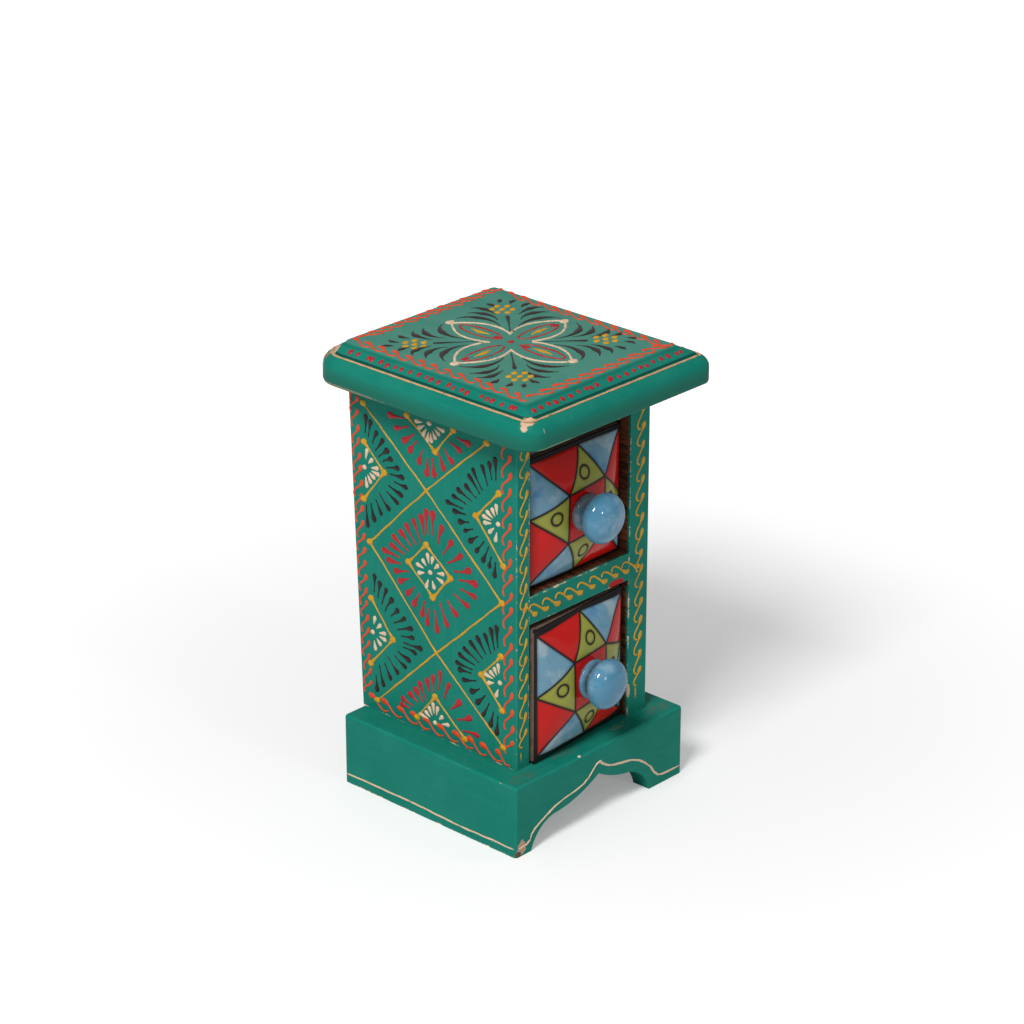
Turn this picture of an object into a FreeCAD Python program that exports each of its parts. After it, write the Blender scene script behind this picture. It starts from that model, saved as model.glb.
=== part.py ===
import FreeCAD, Part
import math
import os
import Sketcher

# Small painted chest with two glazed ceramic drawers. Millimetres, +Z up, front towards -Y.
# The origin is on the floor, under the centre of the top board.

SIZES = [
    ("lip_height", 12.6, "square edge of the top board, up to the moulding"),
    ("lip_round", 4.0, "round over the lip's upper edge"),
    ("lip_ease", 1.1, "small round under the lip"),
    ("moulding_inset", 6.6, "lip's edge to the foot of the sloped moulding"),
    ("moulding_rise", 4.7, "height of the sloped moulding"),
    ("moulding_side", 11.6, "flat field's edge inside the lip, left and right"),
    ("moulding_end", 11.3, "the same, front and back"),
    ("field_shift_left", 0.7, "the field was cut this far left of centre"),
    ("field_shift_back", 0.7, "and this far back"),
    ("field_corner", 1.6, "corner radius of the field"),
    ("corner_front_left", 10.0, "plan radius of each corner of the top"),
    ("corner_front_right", 6.0, "front right"),
    ("corner_back_left", 14.0, "back left"),
    ("corner_back_right", 9.0, "back right"),
    ("front_overhang", 21.45, "top board's edge past the case, in front"),
    ("side_overhang", 15.55, "the same, left and right"),
    ("back_overhang", 7.4, "the same, behind"),
    ("case_width", 82.2, "case, left to right"),
    ("case_depth", 90.85, "case at its foot, front to back"),
    ("back_lean", 5.6, "how much deeper the case is at its top"),
    ("left_thickness", 7.6, "left side panel"),
    ("right_thickness", 12.4, "right side panel"),
    ("back_thickness", 4.5, "back panel"),
    ("panel_ease", 0.8, "round on the front edges of the side panels"),
    ("lower_opening", 64.9, "height of the lower drawer's opening"),
    ("shelf_thickness", 12.3, "shelf between the drawers"),
    ("upper_opening", 63.4, "height of the upper drawer's opening"),
    ("ceiling_thickness", 12.3, "board under the top board"),
    ("plinth_height", 32.8, "floor to ledge"),
    ("ledge_front", 10.85, "ledge in front of the case"),
    ("ledge_side", 12.1, "ledge beside the case"),
    ("apron_thickness", 9.0, "boards of the plinth's frame"),
    ("base_thickness", 9.0, "board that closes the plinth"),
    ("plinth_ease", 1.6, "round on the plinth's outer edges"),
    ("left_foot", 9.4, "width of the left foot"),
    ("right_foot", 21.6, "width of the right foot"),
    ("arch_peak", 20.5, "height of the arch's point"),
    ("arch_peak_left", 1.4, "the point's place, left of the middle"),
    ("left_shoulder_run", 13.3, "left shoulder of the arch, from the foot"),
    ("left_shoulder_rise", 12.2, "height of that shoulder"),
    ("left_foot_round", 17.5, "radius of the left foot's curve"),
    ("left_brow_round", 62.0, "radius of the brow left of the point"),
    ("right_shoulder_run", 13.3, "right shoulder of the arch, from the foot"),
    ("right_shoulder_rise", 13.5, "height of that shoulder"),
    ("right_foot_round", 18.5, "radius of the right foot's curve"),
    ("right_brow_round", 48.0, "radius of the brow right of the point"),
    ("block_side", 8.0, "glue block, across"),
    ("block_height", 16.0, "glue block, along the corner"),
    ("drawer_side_gap", 1.2, "opening's side to the drawer's front"),
    ("drawer_lift", 0.3, "running gap under a drawer"),
    ("upper_headroom", 4.3, "gap over the upper drawer's front"),
    ("lower_headroom", 2.4, "gap over the lower drawer's front"),
    ("upper_recess", 4.2, "rim of the upper drawer's face behind the case's front"),
    ("lower_recess", 0.0, "rim of the lower drawer's face behind the case's front"),
    ("upper_yaw", 0.0, "degrees that the upper drawer sits askew"),
    ("lower_yaw", 3.8, "degrees that the lower drawer sits askew, left edge forward"),
    ("front_thickness", 6.0, "drawer's tile-like front"),
    ("front_round", 1.4, "round on the front's edges"),
    ("front_corner", 1.8, "corner radius of the front"),
    ("crown_height", 6.4, "bulge of the glazed face at its middle"),
    ("crown_seat", 9.6, "half the flat seat for the knob on the bulge"),
    ("crown_foot_corner", 0.5, "least corner radius at the foot of the bulge"),
    ("tub_side_gap", 6.1, "opening's side to the drawer's tub, as it may sit askew"),
    ("tub_back_gap", 6.35, "back panel to a tub whose face is flush"),
    ("tub_drop", 5.0, "tub's rim below the top of the front"),
    ("tub_wall", 4.2, "drawer's sides and back"),
    ("tub_floor", 4.6, "drawer's floor"),
    ("tub_corner", 4.0, "upright corners inside the tub"),
    ("tub_cove", 2.5, "round where the walls meet the floor"),
    ("cove_margin", 0.2, "least by which the cove stays under the upright corners"),
    ("knob_radius", 11.15, "knob's head"),
    ("knob_half", 6.25, "half the head's thickness"),
    ("upper_collar_height", 4.4, "upper knob's collar, from its seat to the waist"),
    ("lower_collar_height", 2.4, "lower knob's collar, likewise"),
    ("neck_radius", 6.2, "waist behind the head"),
    ("neck_length", 0.9, "waist between the collar and the head"),
    ("collar_radius", 8.6, "collar at its seat"),
    ("collar_start", 0.6, "foot of the collar's bulge past its seat"),
    ("collar_shoulder", 7.2, "collar where its bulge ends at the waist"),
    ("stud_radius", 2.0, "threaded stud cemented into the knob"),
    ("stud_depth", 12.0, "stud inside the knob"),
    ("cement_gap", 0.1, "cement round the stud"),
    ("hole_gap", 0.3, "stud to its hole in the drawer's front"),
    ("washer_radius", 5.0, "washer under the nut"),
    ("washer_thickness", 0.8, "its thickness"),
    ("nut_radius", 4.04, "nut, centre to corner"),
    ("nut_thickness", 3.2, "its thickness"),
    ("stud_tail", 1.5, "stud past the nut"),
    ("pin_radius", 0.6, "headless panel pins, set in and filled over"),
    ("pin_length", 18.0, "length of every pin"),
    ("pin_set", 1.0, "pin's head below the surface"),
    ("pin_edge", 16.0, "pin to the nearest end of its joint"),
    ("upright_pin_edge", 24.0, "the same for the upright pins, clear of the level ones"),
]

doc = FreeCAD.newDocument("DrawerChest")
sheet = doc.addObject("Spreadsheet::Sheet", "Sizes")
for row, (alias, value, meaning) in enumerate(SIZES, start=1):
    sheet.set(f"A{row}", alias)
    sheet.set(f"B{row}", str(value))
    sheet.set(f"C{row}", meaning)
    sheet.setAlias(f"B{row}", alias)
doc.recompute()

# Places that several pieces share, as expressions over the sheet.

TOP_WIDTH = "(Sizes.case_width + 2 * Sizes.side_overhang)"
TOP_DEPTH = "(Sizes.front_overhang + Sizes.case_depth + Sizes.back_lean + Sizes.back_overhang)"
CASE_FRONT = f"(Sizes.front_overhang - {TOP_DEPTH} / 2)"
PLINTH_WIDTH = "(Sizes.case_width + 2 * Sizes.ledge_side)"
PLINTH_FRONT = f"({CASE_FRONT} - Sizes.ledge_front)"
PLINTH_BACK = f"({CASE_FRONT} + Sizes.case_depth)"
CASE_LEFT = "(-Sizes.case_width / 2)"
CASE_RIGHT = "(Sizes.case_width / 2)"
OPENING_LEFT = f"({CASE_LEFT} + Sizes.left_thickness)"
OPENING_RIGHT = f"({CASE_RIGHT} - Sizes.right_thickness)"
OPENING_MIDDLE = f"(({OPENING_LEFT} + {OPENING_RIGHT}) / 2)"
LEDGE = "Sizes.plinth_height"
SHELF_BOTTOM = f"({LEDGE} + Sizes.lower_opening)"
SHELF_TOP = f"({SHELF_BOTTOM} + Sizes.shelf_thickness)"
CEILING_BOTTOM = f"({SHELF_TOP} + Sizes.upper_opening)"
CASE_TOP = f"({CEILING_BOTTOM} + Sizes.ceiling_thickness)"
APRON_INSIDE = f"({PLINTH_FRONT} + Sizes.apron_thickness)"
APRON_INSIDE_BACK = f"({PLINTH_BACK} - Sizes.apron_thickness)"
FRAME_INSIDE = f"({PLINTH_WIDTH} / 2 - Sizes.apron_thickness)"
TUB_DEPTH = "(Sizes.case_depth - Sizes.back_thickness - Sizes.tub_back_gap)"
TUB_HALF = f"(({OPENING_RIGHT} - {OPENING_LEFT}) / 2 - Sizes.tub_side_gap)"

X_AXIS = FreeCAD.Vector(1, 0, 0)
Y_AXIS = FreeCAD.Vector(0, 1, 0)
Z_AXIS = FreeCAD.Vector(0, 0, 1)

# An edge lies at a level when it keeps within this of it, in millimetres.
FLATNESS = 0.01

# Sections that the bulge of a drawer's front is lofted through, past its foot.
CROWN_STEPS = 4
# Corner radius of the highest section as a share of its half width, and how soon it is reached.
CROWN_ROUNDNESS = 0.7
CROWN_ROUNDING = 5


def back_at(height):
    """The case's leaning back face at a height, as an expression."""
    share = f"(({height}) - {LEDGE}) / ({CASE_TOP} - {LEDGE})"
    return f"({CASE_FRONT} + Sizes.case_depth + Sizes.back_lean * {share})"


def back_inside_at(height):
    return f"({back_at(height)} - Sizes.back_thickness)"


def value_of(expression):
    result = sheet.evalExpression(str(expression))
    return float(getattr(result, "Value", result))


def named(kind, name):
    piece = doc.addObject(kind, name)
    piece.Label = name
    return piece


def bind(piece, **expressions):
    for prop, expression in expressions.items():
        piece.setExpression(prop.replace("__", "."), str(expression))


def place(piece, across, deep, up):
    bind(piece, Placement__Base__x=across, Placement__Base__y=deep, Placement__Base__z=up)


def add_sketch(body, name, role, lift=None):
    """A sketch on one of the body's own origin planes, or raised from it."""
    sketch = body.newObject("Sketcher::SketchObject", name)
    planes = [feature for feature in body.Origin.OriginFeatures if feature.Role == role]
    sketch.AttachmentSupport = [(planes[0], "")]
    sketch.MapMode = "FlatFace"
    if lift is not None:
        sketch.setExpression("AttachmentOffset.Base.z", lift)
    return sketch


def arc_centre(start, end, radius, side):
    """Centre of the minor arc from start to end. Side is 1 with the centre on the left, else -1."""
    half = (end - start) * 0.5
    rise = math.sqrt(max(radius ** 2 - half.Length ** 2, 0.0))
    leftward = FreeCAD.Vector(-half.y, half.x, 0).normalize()
    return start + half + leftward * rise * side


def draw_outline(sketch, corners):
    """Closed outline. A corner is (x, y) or, where an arc leads to it, (x, y, radius, side)."""
    points = [FreeCAD.Vector(value_of(corner[0]), value_of(corner[1]), 0) for corner in corners]
    ends = []
    for number, corner in enumerate(corners):
        start = points[number - 1]
        end = points[number]
        if len(corner) == 2:
            edge = sketch.addGeometry(Part.LineSegment(start, end))
            ends.append((edge, 1, 2))
            continue
        radius = value_of(corner[2])
        centre = arc_centre(start, end, radius, corner[3])
        first, last = (start, end) if corner[3] > 0 else (end, start)
        angles = [math.atan2(point.y - centre.y, point.x - centre.x) for point in (first, last)]
        circle = Part.Circle(centre, FreeCAD.Vector(0, 0, 1), radius)
        edge = sketch.addGeometry(Part.ArcOfCircle(circle, angles[0], angles[1]))
        ends.append((edge, 1, 2) if corner[3] > 0 else (edge, 2, 1))
    for number, corner in enumerate(corners):
        edge, _, arrival = ends[number]
        following, departure, _ = ends[(number + 1) % len(ends)]
        sketch.addConstraint(Sketcher.Constraint("Coincident", edge, arrival, following, departure))
        for kind, where, at in (("DistanceX", corner[0], points[number].x),
                                ("DistanceY", corner[1], points[number].y)):
            index = sketch.addConstraint(Sketcher.Constraint(kind, -1, 1, edge, arrival, at))
            sketch.setExpression(f"Constraints[{index}]", str(where))
        if len(corner) > 2:
            size = value_of(corner[2])
            index = sketch.addConstraint(Sketcher.Constraint("Radius", edge, size))
            sketch.setExpression(f"Constraints[{index}]", str(corner[2]))


def rounded_corners(left, right, front, back, radii):
    """Corners of a rounded rectangle. Radii run front left, front right, back right, back left."""
    front_left, front_right, back_right, back_left = radii
    return [
        (f"{left} + {front_left}", front, front_left, 1),
        (f"{right} - {front_right}", front),
        (right, f"{front} + {front_right}", front_right, 1),
        (right, f"{back} - {back_right}"),
        (f"{right} - {back_right}", back, back_right, 1),
        (f"{left} + {back_left}", back),
        (left, f"{back} - {back_left}", back_left, 1),
        (left, f"{front} + {front_left}"),
    ]


def pad(body, name, sketch, length, reverse=False):
    feature = body.newObject("PartDesign::Pad", name)
    feature.Profile = sketch
    feature.setExpression("Length", length)
    feature.Reversed = reverse
    doc.recompute()
    return feature


def pocket(body, name, sketch, depth):
    """A pocket that must take material away."""
    before = body.Tip.Shape.Volume
    feature = body.newObject("PartDesign::Pocket", name)
    feature.Profile = sketch
    feature.setExpression("Length", depth)
    doc.recompute()
    if feature.Shape.Volume >= before:
        raise RuntimeError(f"{name} cuts nothing")
    return feature


def flat_edges(shape, **levels):
    """Names of the edges that lie at the given x, y or z, in the shape's own coordinates."""
    found = []
    for number, edge in enumerate(shape.Edges, start=1):
        box = edge.BoundBox
        spans = {"x": (box.XMin, box.XMax), "y": (box.YMin, box.YMax), "z": (box.ZMin, box.ZMax)}
        if all(abs(end - level) < FLATNESS for axis, level in levels.items() for end in spans[axis]):
            found.append(f"Edge{number}")
    return found


def soften(body, name, edges, radius):
    fillet = body.newObject("PartDesign::Fillet", name)
    fillet.Base = (fillet.BaseFeature or body.Tip, sorted(set(edges)))
    fillet.setExpression("Radius", radius)
    doc.recompute()
    return fillet


def box(name, length, width, height, across, deep, up):
    piece = named("Part::Box", name)
    bind(piece, Length=length, Width=width, Height=height)
    place(piece, across, deep, up)
    return piece


def drilled(name, blank, tools):
    """The blank with its pin holes."""
    blank.Label = f"{name}_blank"
    holes = tools[0]
    if len(tools) > 1:
        holes = named("Part::MultiFuse", f"{name}_holes")
        holes.Shapes = tools
    piece = named("Part::Cut", name)
    piece.Base = blank
    piece.Tool = holes
    return piece


def pin(name, across, deep, up, axis, angle):
    """One headless pin that starts at a point and runs along the axis that the turn gives."""
    piece = named("Part::Cylinder", name)
    bind(piece, Radius="Sizes.pin_radius", Height="Sizes.pin_length")
    piece.Placement = FreeCAD.Placement(FreeCAD.Vector(), FreeCAD.Rotation(axis, angle))
    place(piece, across, deep, up)
    return piece


def group(name, pieces):
    bundle = named("Part::Compound", name)
    bundle.Links = pieces
    return bundle


# Panel pins

def make_case_pins():
    """Through each side panel into the shelf and the ceiling board, near their two ends."""
    pins = []
    levels = {"shelf": f"{SHELF_BOTTOM} + Sizes.shelf_thickness / 2",
              "ceiling": f"{CEILING_BOTTOM} + Sizes.ceiling_thickness / 2"}
    depths = {"front": f"{CASE_FRONT} + Sizes.pin_edge",
              "back": f"{CASE_FRONT} + Sizes.case_depth - Sizes.back_thickness - Sizes.pin_edge"}
    for board, level in levels.items():
        for end, depth in depths.items():
            pins.append(pin(f"left_{board}_{end}_pin", f"{CASE_LEFT} + Sizes.pin_set",
                            depth, level, Y_AXIS, 90))
            pins.append(pin(f"right_{board}_{end}_pin", f"{CASE_RIGHT} - Sizes.pin_set",
                            depth, level, Y_AXIS, -90))
    return group("case_pins", pins)


def between_ends(end):
    """Depth of an upright pin, well clear of the level pins. End is -1 in front, 1 behind."""
    reach = "(Sizes.case_depth / 2 - Sizes.upright_pin_edge)"
    return f"{CASE_FRONT} + Sizes.case_depth / 2 + {end} * {reach}"


def make_top_pins():
    """Up through the ceiling board into the top board."""
    pins = []
    for side in (-1, 1):
        for end in (-1, 1):
            across = f"{OPENING_MIDDLE} + {side} * (Sizes.pin_edge + 2 * Sizes.pin_radius)"
            deep = between_ends(end)
            pins.append(pin("top_pin", across, deep, f"{CEILING_BOTTOM} + Sizes.pin_set", Z_AXIS, 0))
    return group("top_pins", pins)


def make_base_pins():
    """Up through the base board into the foot of each side panel."""
    pins = []
    sides = (f"{CASE_LEFT} + Sizes.left_thickness / 2", f"{CASE_RIGHT} - Sizes.right_thickness / 2")
    for across in sides:
        for end in (-1, 1):
            deep = between_ends(end)
            up = f"{LEDGE} - Sizes.base_thickness + Sizes.pin_set"
            pins.append(pin("base_pin", across, deep, up, Z_AXIS, 0))
    return group("base_pins", pins)


def make_back_pins():
    """Through the back panel into the rear edges of the shelf and the ceiling board."""
    pins = []
    levels = (f"({SHELF_BOTTOM} + Sizes.shelf_thickness / 2)",
              f"({CEILING_BOTTOM} + Sizes.ceiling_thickness / 2)")
    for level in levels:
        for side in (-1, 1):
            across = f"{OPENING_MIDDLE} + {side} * Sizes.pin_edge / 2"
            pins.append(pin("back_pin", across, f"{back_at(level)} - Sizes.pin_set",
                            level, X_AXIS, 90))
    return group("back_pins", pins)


def make_plinth_pins():
    """Through the front and back aprons into the ends of the side aprons."""
    pins = []
    for side in (-1, 1):
        across = f"{side} * ({PLINTH_WIDTH} - Sizes.apron_thickness) / 2"
        for share in (1, 2):
            up = f"Sizes.plinth_height * {share} / 3"
            pins.append(pin("front_pin", across, f"{PLINTH_FRONT} + Sizes.pin_set", up, X_AXIS, -90))
            pins.append(pin("rear_pin", across, f"{PLINTH_BACK} - Sizes.pin_set", up, X_AXIS, 90))
    return group("plinth_pins", pins)


# Case

def make_side(name, across, thickness, tools):
    """Side panel: upright at the front, leaning out at the back."""
    body = doc.addObject("PartDesign::Body", f"{name}_board")
    sketch = add_sketch(body, f"{name}_profile", "YZ_Plane")
    draw_outline(sketch, [
        (CASE_FRONT, LEDGE),
        (back_at(LEDGE), LEDGE),
        (back_at(CASE_TOP), CASE_TOP),
        (CASE_FRONT, CASE_TOP),
    ])
    panel = pad(body, f"{name}_pad", sketch, thickness)
    outer = 0 if value_of(across) < 0 else value_of(thickness)
    edges = flat_edges(panel.Shape, x=outer, y=value_of(CASE_FRONT))
    soften(body, f"{name}_ease", edges, "Sizes.panel_ease")
    place(body, across, 0, 0)
    return drilled(name, body, tools)


def make_leaning_board(name, low, high, front_low, front_high, back_low, back_high, tools):
    """A board between the side panels that follows the leaning back."""
    body = doc.addObject("PartDesign::Body", f"{name}_board")
    sketch = add_sketch(body, f"{name}_profile", "YZ_Plane")
    draw_outline(sketch, [(front_low, low), (back_low, low), (back_high, high), (front_high, high)])
    pad(body, f"{name}_pad", sketch, f"{OPENING_RIGHT} - {OPENING_LEFT}")
    place(body, OPENING_LEFT, 0, 0)
    return drilled(name, body, tools)


def make_level_board(name, low, high, tools):
    """Shelf or ceiling board, from the case's front to the back panel."""
    return make_leaning_board(name, low, high, CASE_FRONT, CASE_FRONT,
                              back_inside_at(low), back_inside_at(high), tools)


def make_back_panel(tools):
    return make_leaning_board("back_panel", LEDGE, CASE_TOP,
                              back_inside_at(LEDGE), back_inside_at(CASE_TOP),
                              back_at(LEDGE), back_at(CASE_TOP), tools)


# Top board

def make_top_board(tools):
    """Rounded lip, sloped moulding and a flat field a little off centre."""
    body = doc.addObject("PartDesign::Body", "top_board_blank")
    half_width = f"{TOP_WIDTH} / 2"
    half_depth = f"{TOP_DEPTH} / 2"
    radii = ["Sizes.corner_front_left", "Sizes.corner_front_right",
             "Sizes.corner_back_right", "Sizes.corner_back_left"]
    outline = add_sketch(body, "lip_outline", "XY_Plane")
    draw_outline(outline, rounded_corners(f"-{half_width}", half_width,
                                          f"-{half_depth}", half_depth, radii))
    lip = pad(body, "lip", outline, "Sizes.lip_height")
    soften(body, "lip_under", flat_edges(lip.Shape, z=0), "Sizes.lip_ease")
    upper = flat_edges(body.Tip.Shape, z=value_of("Sizes.lip_height"))
    soften(body, "lip_over", upper, "Sizes.lip_round")
    foot = add_sketch(body, "moulding_foot", "XY_Plane", "Sizes.lip_height")
    inset = "Sizes.moulding_inset"
    foot_radii = [f"max({radius} - {inset}; Sizes.field_corner)" for radius in radii]
    draw_outline(foot, rounded_corners(f"-{half_width} + {inset}", f"{half_width} - {inset}",
                                       f"-{half_depth} + {inset}", f"{half_depth} - {inset}",
                                       foot_radii))
    field = add_sketch(body, "field_outline", "XY_Plane", "Sizes.lip_height + Sizes.moulding_rise")
    draw_outline(field, rounded_corners(
        f"-{half_width} + Sizes.moulding_side - Sizes.field_shift_left",
        f"{half_width} - Sizes.moulding_side - Sizes.field_shift_left",
        f"-{half_depth} + Sizes.moulding_end + Sizes.field_shift_back",
        f"{half_depth} - Sizes.moulding_end + Sizes.field_shift_back",
        ["Sizes.field_corner"] * len(radii)))
    moulding = body.newObject("PartDesign::AdditiveLoft", "moulding")
    moulding.Profile = foot
    moulding.Sections = [field]
    moulding.Ruled = True
    doc.recompute()
    place(body, 0, 0, CASE_TOP)
    return drilled("top_board", body, tools)


# Plinth

def make_plinth_front(tools):
    """Front apron, cut away below as a pointed bracket arch."""
    body = doc.addObject("PartDesign::Body", "plinth_front_board")
    half = f"{PLINTH_WIDTH} / 2"
    arch_left = f"-{half} + Sizes.left_foot"
    arch_right = f"{half} - Sizes.right_foot"
    sketch = add_sketch(body, "apron_outline", "XZ_Plane")
    draw_outline(sketch, [
        (f"-{half}", 0),
        (arch_left, 0),
        (f"{arch_left} + Sizes.left_shoulder_run", "Sizes.left_shoulder_rise",
         "Sizes.left_foot_round", -1),
        ("-Sizes.arch_peak_left", "Sizes.arch_peak", "Sizes.left_brow_round", 1),
        (f"{arch_right} - Sizes.right_shoulder_run", "Sizes.right_shoulder_rise",
         "Sizes.right_brow_round", 1),
        (arch_right, 0, "Sizes.right_foot_round", -1),
        (half, 0),
        (half, LEDGE),
        (f"-{half}", LEDGE),
    ])
    apron = pad(body, "apron", sketch, "Sizes.apron_thickness", reverse=True)
    edge = value_of(half)
    ledge = value_of(LEDGE)
    edges = flat_edges(apron.Shape, y=0, z=ledge)
    for end in (-edge, edge):
        edges += flat_edges(apron.Shape, x=end, y=0) + flat_edges(apron.Shape, x=end, z=ledge)
    soften(body, "apron_ease", edges, "Sizes.plinth_ease")
    place(body, 0, PLINTH_FRONT, 0)
    return drilled("plinth_front", body, tools)


def make_plain_apron(name, across, deep, size, eased, tools):
    """Side or back apron: a board with its outer upper edges rounded."""
    body = doc.addObject("PartDesign::Body", f"{name}_board")
    sketch = add_sketch(body, f"{name}_plan", "XY_Plane")
    draw_outline(sketch, [(0, 0), (size[0], 0), (size[0], size[1]), (0, size[1])])
    board = pad(body, f"{name}_pad", sketch, LEDGE)
    edges = []
    for levels in eased:
        edges += flat_edges(board.Shape, **{axis: value_of(level) for axis, level in levels.items()})
    soften(body, f"{name}_ease", edges, "Sizes.plinth_ease")
    place(body, across, deep, 0)
    return drilled(name, body, tools)


def make_glue_blocks():
    """Four blocks glued into the corners of the plinth, under the base board."""
    blocks = []
    for side in (-1, 1):
        for end in ("front", "back"):
            across = f"{side} * ({FRAME_INSIDE} - Sizes.block_side / 2) - Sizes.block_side / 2"
            deep = APRON_INSIDE if end == "front" else f"{APRON_INSIDE_BACK} - Sizes.block_side"
            up = f"{LEDGE} - Sizes.base_thickness - Sizes.block_height"
            blocks.append(box("glue_block", "Sizes.block_side", "Sizes.block_side",
                              "Sizes.block_height", across, deep, up))
    return group("glue_blocks", blocks)


# Drawers and knobs

def front_height(level):
    return f"(Sizes.{level}_opening - Sizes.drawer_lift - Sizes.{level}_headroom)"


def seat_on_drawer(piece, level, ahead, up):
    """Puts a piece in front of a drawer's face, on the drawer's middle line."""
    face = f"{CASE_FRONT} + Sizes.{level}_recess"
    yaw = f"Sizes.{level}_yaw"
    place(piece, f"{OPENING_MIDDLE} + ({ahead}) * sin({yaw} * 1deg)",
          f"{face} - ({ahead}) * cos({yaw} * 1deg)", up)


def turned(piece, level, *, half_turn):
    """Turns a piece about the upright axis with its drawer."""
    piece.Placement.Rotation = FreeCAD.Rotation(Z_AXIS, 0)
    extra = " + 180" if half_turn else ""
    piece.setExpression("Placement.Rotation.Angle", f"Sizes.{level}_yaw{extra}")


def add_crown(body, level, half, height):
    """Bulge of the glazed face: steep at its foot, level where the knob sits."""
    foot = "Sizes.front_round"
    middle = f"({height} / 2)"
    rings = []
    for step in range(CROWN_STEPS + 1):
        share = step / CROWN_STEPS
        rise = 1 - (1 - share) ** 2
        reach_x = f"({half} - {foot} - ({half} - {foot} - Sizes.crown_seat) * {share})"
        reach_z = f"({middle} - {foot} - ({middle} - {foot} - Sizes.crown_seat) * {share})"
        roundness = CROWN_ROUNDNESS * (1 - (1 - share) ** CROWN_ROUNDING)
        corner = (f"max({roundness} * {reach_x};"
                  " max(Sizes.front_corner - Sizes.front_round; Sizes.crown_foot_corner))")
        ring = add_sketch(body, f"{level}_crown_ring_{step}", "XZ_Plane",
                          f"Sizes.crown_height * {rise}")
        draw_outline(ring, rounded_corners(f"-{reach_x}", reach_x, f"{middle} - {reach_z}",
                                           f"{middle} + {reach_z}", [corner] * 4))
        rings.append(ring)
    crown = body.newObject("PartDesign::AdditiveLoft", f"{level}_crown")
    crown.Profile = rings[0]
    crown.Sections = rings[1:]
    doc.recompute()


def make_drawer(level, floor_height):
    """One-piece ceramic drawer: bowed front, open tub behind it and a hole for the stud."""
    body = doc.addObject("PartDesign::Body", f"{level}_drawer")
    body.Label = f"{level}_drawer"
    height = front_height(level)
    half = f"(({OPENING_RIGHT} - {OPENING_LEFT}) / 2 - Sizes.drawer_side_gap)"
    corner = "Sizes.front_corner"
    face = add_sketch(body, f"{level}_face", "XZ_Plane")
    draw_outline(face, rounded_corners(f"-{half}", half, "0", height, [corner] * 4))
    front = pad(body, f"{level}_front", face, "Sizes.front_thickness", reverse=True)
    soften(body, f"{level}_rim", flat_edges(front.Shape, y=0), "Sizes.front_round")
    add_crown(body, level, half, height)
    plan = add_sketch(body, f"{level}_plan", "XY_Plane")
    behind = "Sizes.front_thickness / 2"
    draw_outline(plan, [(f"-{TUB_HALF}", behind), (TUB_HALF, behind),
                        (TUB_HALF, TUB_DEPTH), (f"-{TUB_HALF}", TUB_DEPTH)])
    tub = pad(body, f"{level}_tub", plan, f"{height} - Sizes.tub_drop")
    edges = []
    for end in (-value_of(TUB_HALF), value_of(TUB_HALF)):
        edges += flat_edges(tub.Shape, x=end, y=value_of(TUB_DEPTH))
    soften(body, f"{level}_back_corners", edges, "Sizes.tub_wall / 2")
    rim = f"{height} - Sizes.tub_drop"
    hollow = add_sketch(body, f"{level}_hollow_plan", "XY_Plane", rim)
    inside = f"({TUB_HALF} - Sizes.tub_wall)"
    draw_outline(hollow, rounded_corners(f"-{inside}", inside, "Sizes.front_thickness",
                                         f"{TUB_DEPTH} - Sizes.tub_wall",
                                         ["Sizes.tub_corner"] * 4))
    pocket(body, f"{level}_hollow", hollow, f"{rim} - Sizes.tub_floor")
    floor_edges = flat_edges(body.Tip.Shape, z=value_of("Sizes.tub_floor"))
    soften(body, f"{level}_cove", floor_edges, "min(Sizes.tub_cove; Sizes.tub_corner - Sizes.cove_margin)")
    bore = add_sketch(body, f"{level}_bore_circle", "XZ_Plane", "Sizes.crown_height")
    radius = "Sizes.stud_radius + Sizes.hole_gap"
    middle = f"{height} / 2"
    centre = FreeCAD.Vector(0, value_of(middle), 0)
    bore.addGeometry(Part.Circle(centre, Z_AXIS, value_of(radius)))
    bore.addConstraint(Sketcher.Constraint("PointOnObject", 0, 3, -2))
    index = bore.addConstraint(Sketcher.Constraint("DistanceY", -1, 1, 0, 3, centre.y))
    bore.setExpression(f"Constraints[{index}]", middle)
    index = bore.addConstraint(Sketcher.Constraint("Radius", 0, value_of(radius)))
    bore.setExpression(f"Constraints[{index}]", radius)
    pocket(body, f"{level}_bore", bore, "Sizes.crown_height + Sizes.front_thickness")
    turned(body, level, half_turn=False)
    seat_on_drawer(body, level, "0", floor_height)
    return body


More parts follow.
